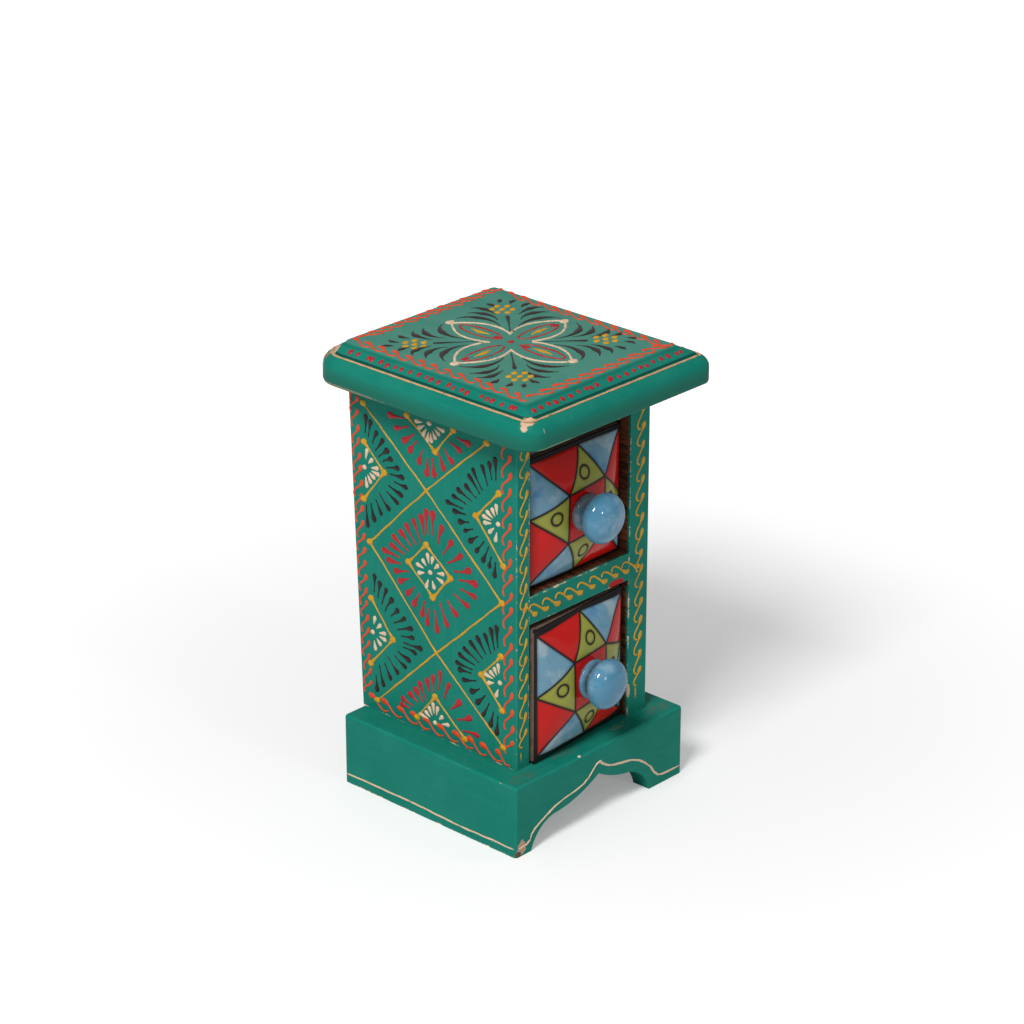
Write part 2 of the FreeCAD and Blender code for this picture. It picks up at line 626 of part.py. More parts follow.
def make_knob(level, centre_height):
    """Turned ceramic knob: collar, waist and a domed head, with a blind bore for its stud.
    Its seat is the level middle of the drawer's bowed front."""
    body = doc.addObject("PartDesign::Body", f"{level}_knob")
    body.Label = f"{level}_knob"
    wide = "Sizes.knob_radius"
    half = "Sizes.knob_half"
    neck = "Sizes.neck_radius"
    dome = f"({wide}^2 / {half})"
    collar_end = f"Sizes.{level}_collar_height"
    head_back = f"({collar_end} + Sizes.neck_length)"
    middle = f"({head_back} + {half} - {dome} + sqrt({dome}^2 - {neck}^2))"
    rim = f"(({dome}^2 - {wide}^2 - ({dome} - {half})^2) / (2 * ({dome} - {wide})))"
    ratio = f"({dome} / ({dome} - {rim}))"
    meet_out = f"(({wide} - {rim}) * {ratio})"
    meet_off = f"(({dome} - {half}) * ({ratio} - 1))"
    collar_round = (f"((Sizes.collar_radius - Sizes.collar_shoulder"
                    f" + {collar_end} - Sizes.collar_start) / 2)")
    bore = "(Sizes.stud_radius + Sizes.cement_gap)"
    profile = add_sketch(body, f"{level}_knob_profile", "XY_Plane")
    draw_outline(profile, [
        (bore, 0),
        ("Sizes.collar_radius", 0),
        ("Sizes.collar_radius", "Sizes.collar_start"),
        ("Sizes.collar_shoulder", collar_end, collar_round, 1),
        (neck, collar_end),
        (neck, head_back),
        (meet_out, f"{middle} - {meet_off}", dome, 1),
        (wide, middle, rim, 1),
        (meet_out, f"{middle} + {meet_off}", rim, 1),
        (0, f"{middle} + {half}", dome, 1),
        (0, "Sizes.stud_depth"),
        (bore, "Sizes.stud_depth"),
    ])
    turning = body.newObject("PartDesign::Revolution", f"{level}_knob_turning")
    turning.Profile = profile
    turning.ReferenceAxis = (profile, ["V_Axis"])
    turning.Angle = 360
    doc.recompute()
    turned(body, level, half_turn=True)
    seat_on_drawer(body, level, "Sizes.crown_height", centre_height)
    return body


def make_round(name, level, radius, length, start, centre_height):
    """A cylinder along the knob's axis that starts this far in front of the face and runs back."""
    piece = doc.addObject("Part::Cylinder", name)
    bind(piece, Radius=radius, Height=length)
    lay_along_knob(piece, level, start, centre_height)
    return piece


def lay_along_knob(piece, level, start, centre_height):
    yaw = value_of(f"Sizes.{level}_yaw")
    lying = FreeCAD.Rotation(Z_AXIS, yaw).multiply(FreeCAD.Rotation(X_AXIS, -90))
    piece.Placement = FreeCAD.Placement(FreeCAD.Vector(), lying)
    seat_on_drawer(piece, level, start, centre_height)


def make_knob_fixing(level, centre_height):
    """Stud, washer and nut that hold the knob to the drawer's front."""
    back = "(-Sizes.front_thickness)"
    start = "Sizes.crown_height + Sizes.stud_depth"
    total = (f"{start} + Sizes.front_thickness + Sizes.washer_thickness"
             " + Sizes.nut_thickness + Sizes.stud_tail")
    stud = make_round(f"{level}_knob_stud", level, "Sizes.stud_radius", total, start,
                      centre_height)
    stud.Label = f"{level}_knob_stud"
    clearance = "Sizes.stud_radius + Sizes.cement_gap"
    disc = make_round(f"{level}_washer_disc", level, "Sizes.washer_radius",
                      "Sizes.washer_thickness", back, centre_height)
    eye = make_round(f"{level}_washer_eye", level, clearance,
                     "Sizes.washer_thickness", back, centre_height)
    washer = named("Part::Cut", f"{level}_knob_washer")
    washer.Base = disc
    washer.Tool = eye
    nut_face = f"({back} - Sizes.washer_thickness)"
    blank = doc.addObject("Part::Prism", f"{level}_nut_blank")
    blank.Polygon = 6
    bind(blank, Circumradius="Sizes.nut_radius", Height="Sizes.nut_thickness")
    lay_along_knob(blank, level, nut_face, centre_height)
    thread = make_round(f"{level}_nut_thread", level, clearance,
                        "Sizes.nut_thickness", nut_face, centre_height)
    nut = named("Part::Cut", f"{level}_knob_nut")
    nut.Base = blank
    nut.Tool = thread
    return [stud, washer, nut]


def make_plinth(base_pins, plinth_pins):
    full = PLINTH_WIDTH
    thick = "Sizes.apron_thickness"
    run = f"({APRON_INSIDE_BACK} - {APRON_INSIDE})"
    left = f"(-{full} / 2)"
    right = f"({full} / 2 - {thick})"
    base = box("base_blank", f"2 * {FRAME_INSIDE}", run, "Sizes.base_thickness",
               f"-{FRAME_INSIDE}", APRON_INSIDE, f"{LEDGE} - Sizes.base_thickness")
    back_ends = [{"x": 0, "z": LEDGE}, {"x": full, "z": LEDGE}, {"y": thick, "z": LEDGE},
                 {"x": 0, "y": thick}, {"x": full, "y": thick}]
    return [
        drilled("base_board", base, [base_pins]),
        make_plinth_front([plinth_pins]),
        make_plain_apron("plinth_left", left, APRON_INSIDE, (thick, run),
                         [{"x": 0, "z": LEDGE}], [plinth_pins]),
        make_plain_apron("plinth_right", right, APRON_INSIDE, (thick, run),
                         [{"x": thick, "z": LEDGE}], [plinth_pins]),
        make_plain_apron("plinth_back", left, APRON_INSIDE_BACK, (full, thick),
                         back_ends, [plinth_pins]),
        make_glue_blocks(),
    ]


def make_case(case_pins, base_pins, top_pins, back_pins):
    return [
        make_side("left_side", CASE_LEFT, "Sizes.left_thickness", [case_pins, base_pins]),
        make_side("right_side", OPENING_RIGHT, "Sizes.right_thickness", [case_pins, base_pins]),
        make_level_board("shelf", SHELF_BOTTOM, SHELF_TOP, [case_pins, back_pins]),
        make_level_board("ceiling_board", CEILING_BOTTOM, CASE_TOP,
                         [case_pins, back_pins, top_pins]),
        make_back_panel([back_pins]),
        make_top_board([top_pins]),
    ]


def main():
    case_pins = make_case_pins()
    top_pins = make_top_pins()
    base_pins = make_base_pins()
    back_pins = make_back_pins()
    plinth_pins = make_plinth_pins()
    nodes = [case_pins, top_pins, base_pins, back_pins, plinth_pins]
    nodes += make_plinth(base_pins, plinth_pins)
    nodes += make_case(case_pins, base_pins, top_pins, back_pins)
    for level, rest in (("upper", SHELF_TOP), ("lower", LEDGE)):
        floor_height = f"{rest} + Sizes.drawer_lift"
        centre_height = f"{floor_height} + {front_height(level)} / 2"
        nodes.append(make_drawer(level, floor_height))
        nodes.append(make_knob(level, centre_height))
        nodes += make_knob_fixing(level, centre_height)
    doc.recompute()
    for item in doc.Objects:
        faults = [state for state in item.State if state in ("Invalid", "Error")]
        if faults:
            raise RuntimeError(f"{item.Label} did not recompute: {faults}")
    for node in nodes:
        if node.Shape.isNull() or not node.Shape.isValid() or node.Shape.Volume <= 0:
            raise RuntimeError(f"{node.Label} has no valid shape")
    os.makedirs("parts", exist_ok=True)
    for node in nodes:
        node.Shape.exportStep(f"parts/{node.Label}.step")
        box_of = node.Shape.BoundBox
        print(f"{node.Label:20s} {len(node.Shape.Solids):2d} {node.Shape.Volume:10.1f}"
              f"  x {box_of.XMin:7.2f} {box_of.XMax:7.2f}  y {box_of.YMin:7.2f} {box_of.YMax:7.2f}"
              f"  z {box_of.ZMin:7.2f} {box_of.ZMax:7.2f}")


main()
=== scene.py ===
import math

import bpy
import numpy as np
from bpy.props import FloatProperty, FloatVectorProperty, PointerProperty
from mathutils import Matrix, Vector


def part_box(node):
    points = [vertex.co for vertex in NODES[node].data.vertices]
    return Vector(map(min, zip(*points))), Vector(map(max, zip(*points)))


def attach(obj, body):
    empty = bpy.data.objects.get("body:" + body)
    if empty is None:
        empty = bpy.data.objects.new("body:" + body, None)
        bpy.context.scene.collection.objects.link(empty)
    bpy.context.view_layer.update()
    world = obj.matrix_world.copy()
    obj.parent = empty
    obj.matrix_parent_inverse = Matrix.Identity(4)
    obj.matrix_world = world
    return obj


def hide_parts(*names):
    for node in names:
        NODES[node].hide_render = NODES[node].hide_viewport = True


bl_info = {
    "name": "Painted chest with ceramic drawers",
    "version": (1, 0, 0),
    "blender": (4, 5, 0),
    "location": "View3D > Sidebar > Chest",
    "description": "Builds the painted finish, ornament, tiles and knobs of a small two-drawer chest",
    "category": "Object",
}

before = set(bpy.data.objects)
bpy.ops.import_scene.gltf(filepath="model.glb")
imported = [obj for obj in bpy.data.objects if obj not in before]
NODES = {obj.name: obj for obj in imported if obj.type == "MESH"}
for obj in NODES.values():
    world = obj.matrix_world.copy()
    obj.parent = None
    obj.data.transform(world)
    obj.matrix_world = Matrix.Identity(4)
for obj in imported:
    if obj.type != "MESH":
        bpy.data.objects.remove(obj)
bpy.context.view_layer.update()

# Lengths in this file are millimetres until a mesh is written.
MM = 0.001


def node_box(name):
    """Lowest and highest corner of a frame node, in millimetres."""
    low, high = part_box(name)
    return np.array(low) / MM, np.array(high) / MM


TOP_LOW, TOP_HIGH = node_box("top_board")
LEFT_LOW, LEFT_HIGH = node_box("left_side")
RIGHT_LOW, RIGHT_HIGH = node_box("right_side")
SHELF_LOW, SHELF_HIGH = node_box("shelf")
APRON_LOW, APRON_HIGH = node_box("plinth_front")
CASE_FRONT = LEFT_LOW[1]
PLINTH_LOW = np.array([APRON_LOW[0], APRON_LOW[1], 0.0])
PLINTH_HIGH = np.array([APRON_HIGH[0], node_box("plinth_back")[1][1], APRON_HIGH[2]])


def paint(red, green, blue):
    """A colour mixed on a screen, as the linear values that a shader takes."""
    screen = np.array([red, green, blue]) / 255.0
    linear = np.where(screen <= 0.04045, screen / 12.92, ((screen + 0.055) / 1.055) ** 2.4)
    return tuple(float(value) for value in linear)


def colour_property(name, description, red, green, blue):
    return FloatVectorProperty(name=name, description=description, subtype="COLOR", size=3,
                               min=0.0, max=1.0, default=paint(red, green, blue))


# Settings

class ChestColours(bpy.types.PropertyGroup):
    teal: colour_property("Teal", "Case, plinth and lip", 14, 120, 104)
    # This pale teal is the thin brushed coat, and also a painted highlight along the boards' edges.
    teal_thin_and_edge_highlight: colour_property("Light teal", "Where the teal was brushed out thin", 46, 140, 122)
    # The field teal is a painted sheen: the top's flat field made paler and greyer where it would mirror the
    # bright surroundings.
    teal_field_sheen: colour_property("Field teal", "Top's flat field, rubbed paler", 74, 138, 122)
    undercoat: colour_property("Undercoat", "Cream coat that shows where the teal is chipped", 222, 200, 172)
    bare_wood: colour_property("Bare wood", "Wood at worn corners", 176, 122, 92)
    stain: colour_property("Stain", "Wood inside the openings", 124, 74, 48)
    gold: colour_property("Yellow paint", "Lattice, scrolls and dot clusters", 208, 156, 26)
    orange: colour_property("Orange paint", "Scroll borders", 226, 72, 26)
    crimson: colour_property("Crimson paint", "Drops and almonds", 178, 28, 40)
    black: colour_property("Black paint", "Drops and stalks", 32, 24, 22)
    cream: colour_property("Cream paint", "Petals, flowers and lines", 226, 198, 168)
    tan: colour_property("Tan paint", "Line along the top's moulding", 208, 168, 124)
    soft_black: colour_property("Soft black paint", "Strokes on the top", 50, 39, 37)
    tile_blue: colour_property("Tile blue", "Blue glaze", 106, 148, 170)
    tile_green: colour_property("Tile green", "Olive glaze", 146, 150, 64)
    tile_red: colour_property("Tile red", "Red glaze", 190, 22, 18)
    tile_line: colour_property("Tile line", "Black lines between the glazes", 26, 18, 16)
    biscuit: colour_property("Biscuit", "Unglazed ceramic of the drawers", 112, 88, 73)
    knob_blue: colour_property("Knob blue", "Knob glaze", 76, 134, 164)


class ChestSizes(bpy.types.PropertyGroup):
    field_level: FloatProperty(name="Field level", description="Top of the wood below the top's paint",
                               default=202.4)
    line_width: FloatProperty(name="Line width", description="Width of the raised lattice lines",
                              default=0.9)
    relief: FloatProperty(name="Relief", description="Height of the raised paint", default=0.5)
    tile_pitch: FloatProperty(name="Tile pitch", description="Distance between a tile's mesh points",
                              default=0.27)
    tile_line: FloatProperty(name="Tile line", description="Width of the black lines on the tiles",
                             default=0.95)
    pillow: FloatProperty(name="Pillow", description="How high the glaze stands over its lines",
                          default=0.2)
    crown_height: FloatProperty(name="Crown height", description="How far a drawer's front bows out",
                                default=6.4)
    crown_seat: FloatProperty(name="Crown seat", description="Half the flat square under the knob",
                              default=9.6)
    crown_rim: FloatProperty(name="Crown rim", description="Rounded rim round a drawer's front",
                             default=1.4)


class ChestStage(bpy.types.PropertyGroup):
    camera_place: FloatVectorProperty(name="Camera place", description="Millimetres from the origin",
                                      size=3, default=(-964.18, -900.57, 698.09))
    camera_turn: FloatProperty(name="Camera turn", description="Turn about the upright axis",
                               subtype="ANGLE", default=math.radians(-46.96))
    camera_tilt: FloatProperty(name="Camera tilt", description="Tilt above level",
                               subtype="ANGLE", default=math.radians(-23.45))
    lens: FloatProperty(name="Lens", description="Focal length on a 36 mm wide frame", default=119.5)
    floor: colour_property("Floor", "Floor and backdrop", 232, 232, 232)
    floor_glow: FloatProperty(name="Floor glow", description="Lifts the floor to white for the camera only",
                              default=0.25)


# Shader building

class Shading:
    """Adds nodes to one node tree. A value given to an input is a socket, a number or a colour."""

    def __init__(self, tree):
        self.tree = tree

    def join(self, socket, value):
        if isinstance(value, bpy.types.NodeSocket):
            self.tree.links.new(value, socket)
            return
        if hasattr(value, "__len__") and socket.type == "RGBA" and len(value) == 3:
            value = (*value, 1.0)
        socket.default_value = value

    def add(self, kind, inputs=None, **settings):
        node = self.tree.nodes.new(kind)
        for name, value in settings.items():
            setattr(node, name, value)
        for name, value in (inputs or {}).items():
            self.join(node.inputs[name], value)
        return node

    def math(self, operation, *values):
        node = self.add("ShaderNodeMath", dict(enumerate(values)), operation=operation)
        return node.outputs[0]

    def vector(self, operation, *values, scale=None):
        node = self.add("ShaderNodeVectorMath", dict(enumerate(values)), operation=operation)
        if scale is not None:
            self.join(node.inputs["Scale"], scale)
        return node.outputs["Value" if operation in ("LENGTH", "DISTANCE", "DOT_PRODUCT") else 0]

    def split(self, vector):
        return self.add("ShaderNodeSeparateXYZ", {0: vector}).outputs

    def blend(self, share, first, second, mode="MIX"):
        node = self.add("ShaderNodeMix", data_type="RGBA", blend_type=mode, clamp_factor=True)
        for index, value in ((0, share), (6, first), (7, second)):
            self.join(node.inputs[index], value)
        return node.outputs[2]

    def step(self, value, low, high, first=0.0, second=1.0):
        """Rises smoothly from first to second while the value goes from low to high."""
        inputs = {"Value": value, "From Min": low, "From Max": high, "To Min": first, "To Max": second}
        return self.add("ShaderNodeMapRange", inputs, interpolation_type="SMOOTHSTEP").outputs[0]

    def noise(self, where, scale, detail=3.0, rough=0.55, stretch=None):
        if stretch is not None:
            where = self.vector("MULTIPLY", where, stretch)
        inputs = {"Vector": where, "Scale": scale, "Detail": detail, "Roughness": rough}
        return self.add("ShaderNodeTexNoise", inputs).outputs[0]

    def place(self):
        """Object coordinates in millimetres."""
        coordinates = self.add("ShaderNodeTexCoord").outputs["Object"]
        return self.vector("SCALE", coordinates, scale=1.0 / MM)

    def attribute(self, name):
        return self.add("ShaderNodeAttribute", attribute_name=name)

    def group(self, name, **inputs):
        """Outputs of a shared node group, which is built when it is first asked for."""
        tree = bpy.data.node_groups.get(name) or GROUPS[name]()
        return self.add("ShaderNodeGroup", inputs, node_tree=tree).outputs


def new_group(name, inputs, outputs):
    """An empty shader node group, its builder and its input sockets."""
    tree = bpy.data.node_groups.new(name, "ShaderNodeTree")
    for title, kind in inputs.items():
        tree.interface.new_socket(title, in_out="INPUT", socket_type=kind)
    for title, kind in outputs.items():
        tree.interface.new_socket(title, in_out="OUTPUT", socket_type=kind)
    shading = Shading(tree)
    return tree, shading, shading.add("NodeGroupInput").outputs


FLOAT = "NodeSocketFloat"
VECTOR = "NodeSocketVector"
COLOUR = "NodeSocketColor"


def brushed_paint_group():
    """Brushed paint: slow patches of thick and thin coat under fine streaks along one direction."""
    tree, shading, given = new_group(
        "Brushed paint",
        {"Place": VECTOR, "Stretch": VECTOR, "Thick": COLOUR, "Thin": COLOUR},
        {"Colour": COLOUR, "Height": FLOAT, "Rough": FLOAT})
    place = given["Place"]
    patches = shading.noise(place, 0.045, detail=4.0, rough=0.6)
    streaks = shading.noise(place, 0.55, detail=4.0, rough=0.6, stretch=given["Stretch"])
    grains = shading.noise(place, 1.6, detail=2.0)
    patch = shading.step(patches, 0.42, 0.66, 0.0, 0.2)
    streak = shading.step(streaks, 0.4, 0.72, 0.0, 0.18)
    share = shading.math("ADD", patch, streak)
    colour = shading.blend(share, given["Thick"], given["Thin"])
    height = shading.math("ADD", shading.math("MULTIPLY", streaks, 0.7),
                          shading.math("MULTIPLY", grains, 0.3))
    rough = shading.step(patches, 0.35, 0.7, 0.36, 0.52)
    shading.add("NodeGroupOutput", {"Colour": colour, "Height": height, "Rough": rough})
    return tree


def edge_group():
    """Distance to the nearest edge of a box: the middle one of the distances to its three pairs of faces."""
    tree, shading, given = new_group(
        "Box edge", {"Place": VECTOR, "Low": VECTOR, "High": VECTOR}, {"Distance": FLOAT})
    to_low = shading.vector("ABSOLUTE", shading.vector("SUBTRACT", given["Place"], given["Low"]))
    to_high = shading.vector("ABSOLUTE", shading.vector("SUBTRACT", given["High"], given["Place"]))
    across, deep, up = shading.split(shading.vector("MINIMUM", to_low, to_high))
    lesser = shading.math("MINIMUM", across, deep)
    greater = shading.math("MAXIMUM", across, deep)
    middle = shading.math("MAXIMUM", lesser, shading.math("MINIMUM", greater, up))
    shading.add("NodeGroupOutput", {"Distance": middle})
    return tree


def chips_group():
    """Chips: paint is gone where noise lifts the reach of the wear above the distance to an edge."""
    tree, shading, given = new_group(
        "Chips", {"Place": VECTOR, "Distance": FLOAT, "Reach": FLOAT}, {"Undercoat": FLOAT, "Wood": FLOAT})
    slow = shading.noise(given["Place"], 0.16, detail=2.0)
    fast = shading.noise(given["Place"], 0.9, detail=4.0, rough=0.7)
    mixed = shading.math("ADD", shading.math("MULTIPLY", slow, 0.55), shading.math("MULTIPLY", fast, 0.45))
    reach = shading.math("MULTIPLY", shading.step(mixed, 0.46, 0.68), given["Reach"])
    gone = shading.math("SUBTRACT", reach, given["Distance"])
    undercoat = shading.step(gone, 0.0, 0.25)
    wood = shading.step(gone, 0.55, 0.9)
    shading.add("NodeGroupOutput", {"Undercoat": undercoat, "Wood": wood})
    return tree


def wood_group():
    """Plain sawn wood: streaks that run along one direction, with darker pores."""
    tree, shading, given = new_group(
        "Wood", {"Place": VECTOR, "Stretch": VECTOR, "Light": COLOUR, "Dark": COLOUR},
        {"Colour": COLOUR, "Height": FLOAT})
    streaks = shading.noise(given["Place"], 0.5, detail=5.0, rough=0.65, stretch=given["Stretch"])
    pores = shading.noise(given["Place"], 2.2, detail=2.0, rough=0.5, stretch=given["Stretch"])
    share = shading.math("ADD", shading.step(streaks, 0.35, 0.7), shading.step(pores, 0.58, 0.7, 0.0, 0.35))
    colour = shading.blend(share, given["Light"], given["Dark"])
    height = shading.math("SUBTRACT", streaks, pores)
    shading.add("NodeGroupOutput", {"Colour": colour, "Height": height})
    return tree


GROUPS = {"Brushed paint": brushed_paint_group, "Box edge": edge_group, "Chips": chips_group,
          "Wood": wood_group}


def new_material(name):
    """A material with one Principled shader, its builder and that shader."""
    material = bpy.data.materials.new(name)
    material.use_nodes = True
    shading = Shading(material.node_tree)
    return material, shading, material.node_tree.nodes["Principled BSDF"]


def dress(shading, shader, colour, rough, specular=0.5, bump=None):
    """Gives a shader its inputs. bump is a height, its strength and its depth in millimetres."""
    shading.join(shader.inputs["Base Color"], colour)
    shading.join(shader.inputs["Roughness"], rough)
    shader.inputs["Specular IOR Level"].default_value = specular
    if bump:
        height, strength, depth = bump
        inputs = {"Height": height, "Strength": strength, "Distance": depth * MM}
        shading.join(shader.inputs["Normal"], shading.add("ShaderNodeBump", inputs).outputs[0])


def distance_in(shading, place, middle, sizes):
    """Distance from a middle, where 1 is the surface of the ellipsoid with these half sizes."""
    away = shading.vector("DIVIDE", shading.vector("SUBTRACT", place, middle), sizes)
    return shading.vector("LENGTH", away)


def worn_patches(shading, place, colour, patches):
    """Lays ragged patches over a colour. A patch is its middle, its three half sizes and its own colour."""
    ragged = shading.math("MULTIPLY", shading.noise(place, 0.55, detail=5.0, rough=0.7), 1.5)
    for middle, sizes, tint in patches:
        reach = shading.math("ADD", distance_in(shading, place, middle, sizes), ragged)
        colour = shading.blend(shading.step(reach, 1.75, 1.6), colour, paint(*tint))
    return colour


def scuffs(shading, place, colour, areas):
    """Sprinkles worn specks over a colour. An area is its middle, its three half sizes and its own colour."""
    specks = shading.noise(place, 0.8, detail=5.0, rough=0.75)
    for middle, sizes, tint in areas:
        near = shading.step(distance_in(shading, place, middle, sizes), 1.0, 0.4)
        level = shading.math("ADD", specks, shading.math("MULTIPLY", near, 0.12))
        share = shading.math("MULTIPLY", shading.step(level, 0.64, 0.7, 0.0, 0.85), near)
        colour = shading.blend(share, colour, paint(*tint))
    return colour


# How strongly the brushed paint mirrors, and its bump's strength and depth.
PAINT_SPECULAR = 0.08
PAINT_BUMP = (0.6, 0.12)
DARK_GRAIN = (0.035, 0.014, 0.008)


def teal_coat(shading, place, stretch, colours):
    """Colour, height and roughness of the brushed teal."""
    return shading.group("Brushed paint", Place=place, Stretch=stretch, Thick=colours.teal,
                         Thin=colours.teal_thin_and_edge_highlight)


def chipped(shading, place, colour, distance, reach, colours):
    """Lays undercoat and bare wood over a colour near an edge, and says how much of it is undercoat."""
    chips = shading.group("Chips", Place=place, Distance=distance, Reach=reach)
    colour = shading.blend(chips["Undercoat"], colour, colours.undercoat)
    return shading.blend(chips["Wood"], colour, colours.bare_wood), chips["Undercoat"]


def stained_share(shading, place, inside, front):
    """Share of stained wood: all of it inside the openings, past a ragged lap of paint behind the front."""
    share = 0.0
    for axis, level, side in inside:
        beyond = shading.math("MULTIPLY", shading.math("SUBTRACT", shading.split(place)[axis], level), side)
        share = shading.math("MAXIMUM", share, shading.step(beyond, -0.08, -0.02))
    lap = shading.math("MULTIPLY", shading.noise(place, 0.35, detail=3.0), -3.0)
    depth = shading.math("ADD", shading.math("SUBTRACT", shading.split(place)[1], front), lap)
    return shading.math("MULTIPLY", share, shading.step(depth, -0.6, -0.1))


def painted_board(name, box, stretch, reach, colours, inside=(), patches=(), scuffed=()):
    """Brushed teal over cream undercoat over wood, chipped at a box's edges.

    inside lists (axis, level, side): beyond that level the wood is only stained.
    """
    low, high = box
    material, shading, shader = new_material(name)
    place = shading.place()
    coat = teal_coat(shading, place, stretch, colours)
    edge = shading.group("Box edge", Place=place, Low=tuple(low), High=tuple(high))["Distance"]
    # Painted highlight: within a millimetre of every edge the teal turns paler, as where light catches a
    # rounded arris.
    colour = shading.blend(shading.step(edge, 1.0, 0.1, 0.0, 0.4), coat["Colour"], colours.teal_thin_and_edge_highlight)
    colour, undercoat = chipped(shading, place, colour, edge, reach, colours)
    height = shading.math("SUBTRACT", coat["Height"], shading.math("MULTIPLY", undercoat, 0.8))
    rough = shading.math("ADD", coat["Rough"], shading.math("MULTIPLY", undercoat, 0.3))
    if inside:
        stained = stained_share(shading, place, inside, float(low[1]))
        wood = shading.group("Wood", Place=place, Stretch=(1.0, 0.12, 1.0), Light=colours.stain,
                             Dark=DARK_GRAIN)
        colour = shading.blend(stained, colour, wood["Colour"])
        rough = shading.math("MAXIMUM", rough, shading.math("MULTIPLY", stained, 0.6))
    colour = worn_patches(shading, place, colour, patches)
    colour = scuffs(shading, place, colour, scuffed)
    dress(shading, shader, colour, rough, PAINT_SPECULAR, (height, *PAINT_BUMP))
    return material


def set_material(node, material):
    """Gives every material slot of a frame node this material."""
    for slot in NODES[node].material_slots:
        slot.material = material


# Mesh building

def grid_faces(rows, columns, wrap=False):
    """Quads between neighbours on a grid. With wrap, the last column joins the first."""
    index = np.arange(rows * columns).reshape(rows, columns)
    if wrap:
        index = np.concatenate([index, index[:, :1]], axis=1)
    corners = (index[:-1, :-1], index[:-1, 1:], index[1:, 1:], index[1:, :-1])
    return np.stack(corners, axis=-1).reshape(-1, 4)


def add_piece(name, points, faces, body, slot, material, **attributes):
    """A smooth mesh object from points in millimetres. An attribute has one value or colour per point."""
    mesh = bpy.data.meshes.new(name)
    mesh.from_pydata((np.asarray(points) * MM).tolist(), [], faces)
    mesh.polygons.foreach_set("use_smooth", np.ones(len(mesh.polygons), bool))
    for title, values in attributes.items():
        values = np.asarray(values, dtype=np.float32)
        if values.ndim == 1:
            mesh.attributes.new(title, "FLOAT", "POINT").data.foreach_set("value", values)
        else:
            full = np.ones((len(values), 4), dtype=np.float32)
            full[:, :3] = values
            mesh.attributes.new(title, "FLOAT_COLOR", "POINT").data.foreach_set("color", full.ravel())
    mesh.materials.append(material)
    mesh.update()
    piece = bpy.data.objects.new(name, mesh)
    bpy.context.scene.collection.objects.link(piece)
    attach(piece, body)
    return piece


def rounded_ring(left, right, front, back, radii, corner_steps=9, side_steps=24):
    """Points round a rounded rectangle, anticlockwise from the front left corner's end.

    Each corner is a quarter circle about its own centre, and each side is divided evenly.
    """
    front_left, front_right, back_right, back_left = radii
    turns = np.linspace(0.0, np.pi / 2, corner_steps)
    centres = np.array([(right - front_right, front + front_right),
                        (right - back_right, back - back_right),
                        (left + back_left, back - back_left),
                        (left + front_left, front + front_left)])
    sizes = np.array([front_right, back_right, back_left, front_left])
    starts = np.array([-np.pi / 2, 0.0, np.pi / 2, np.pi])
    angles = starts[:, None] + turns[None, :]
    arcs = centres[:, None, :] + sizes[:, None, None] * np.stack([np.cos(angles), np.sin(angles)], axis=-1)
    ends = np.roll(arcs[:, 0], -1, axis=0)
    shares = np.linspace(0.0, 1.0, side_steps + 1)[1:-1]
    sides = arcs[:, -1][:, None] * (1 - shares)[None, :, None] + ends[:, None] * shares[None, :, None]
    return np.concatenate([arcs, sides], axis=1).reshape(-1, 2)


# Raised paint

# How many points cross a ridge, and how deep its underside is sunk in the surface.
RING_COUNT = 6
SUNK = 0.12


def ridge_points(paths, halves, rises):
    """Half-round ridges along flat paths.

    Across, a point lies at the half width times the cosine of its angle. Up, it lies at the height
    times the sine, less a little so that the ridge's flat underside is sunk in the surface.
    """
    along = np.gradient(paths, axis=1)
    along /= np.maximum(np.linalg.norm(along, axis=2, keepdims=True), 1e-9)
    side = np.stack([-along[..., 1], along[..., 0]], axis=-1)
    angles = np.linspace(0.0, np.pi, RING_COUNT)
    across = halves[..., None] * np.cos(angles)
    up = rises[..., None] * np.sin(angles) - SUNK
    flat = paths[:, :, None, :] + side[:, :, None, :] * across[..., None]
    return np.concatenate([flat, up[..., None]], axis=-1)


def smoothed(marks, rounds=2):
    """Cuts each corner at a quarter and at three quarters of its sides, a few times over."""
    for _ in range(rounds):
        early = marks[:-1] * 0.75 + marks[1:] * 0.25
        late = marks[:-1] * 0.25 + marks[1:] * 0.75
        cut = np.stack([early, late], axis=1).reshape(-1, 2)
        marks = np.concatenate([marks[:1], cut, marks[-1:]])
    return marks


# One scroll of a chain: how far along its period and how far across its width, from its round head.
TALL_SCROLL = ((0.0, 0.46), (0.08, 0.52), (0.3, 0.44), (0.6, 0.05), (0.86, -0.37), (1.06, -0.54),
               (1.27, -0.4), (1.33, 0.02))
SIDE_SCROLL = ((0.0, 0.46), (0.06, 0.52), (0.32, 0.48), (0.52, 0.24), (0.78, -0.22), (1.0, -0.46),
               (1.26, -0.5), (1.46, -0.3))
WIDE_SCROLL = ((0.0, 0.3), (0.16, 0.54), (0.53, 0.24), (0.98, -0.34), (1.3, -0.56), (1.52, -0.42),
               (1.56, -0.05))


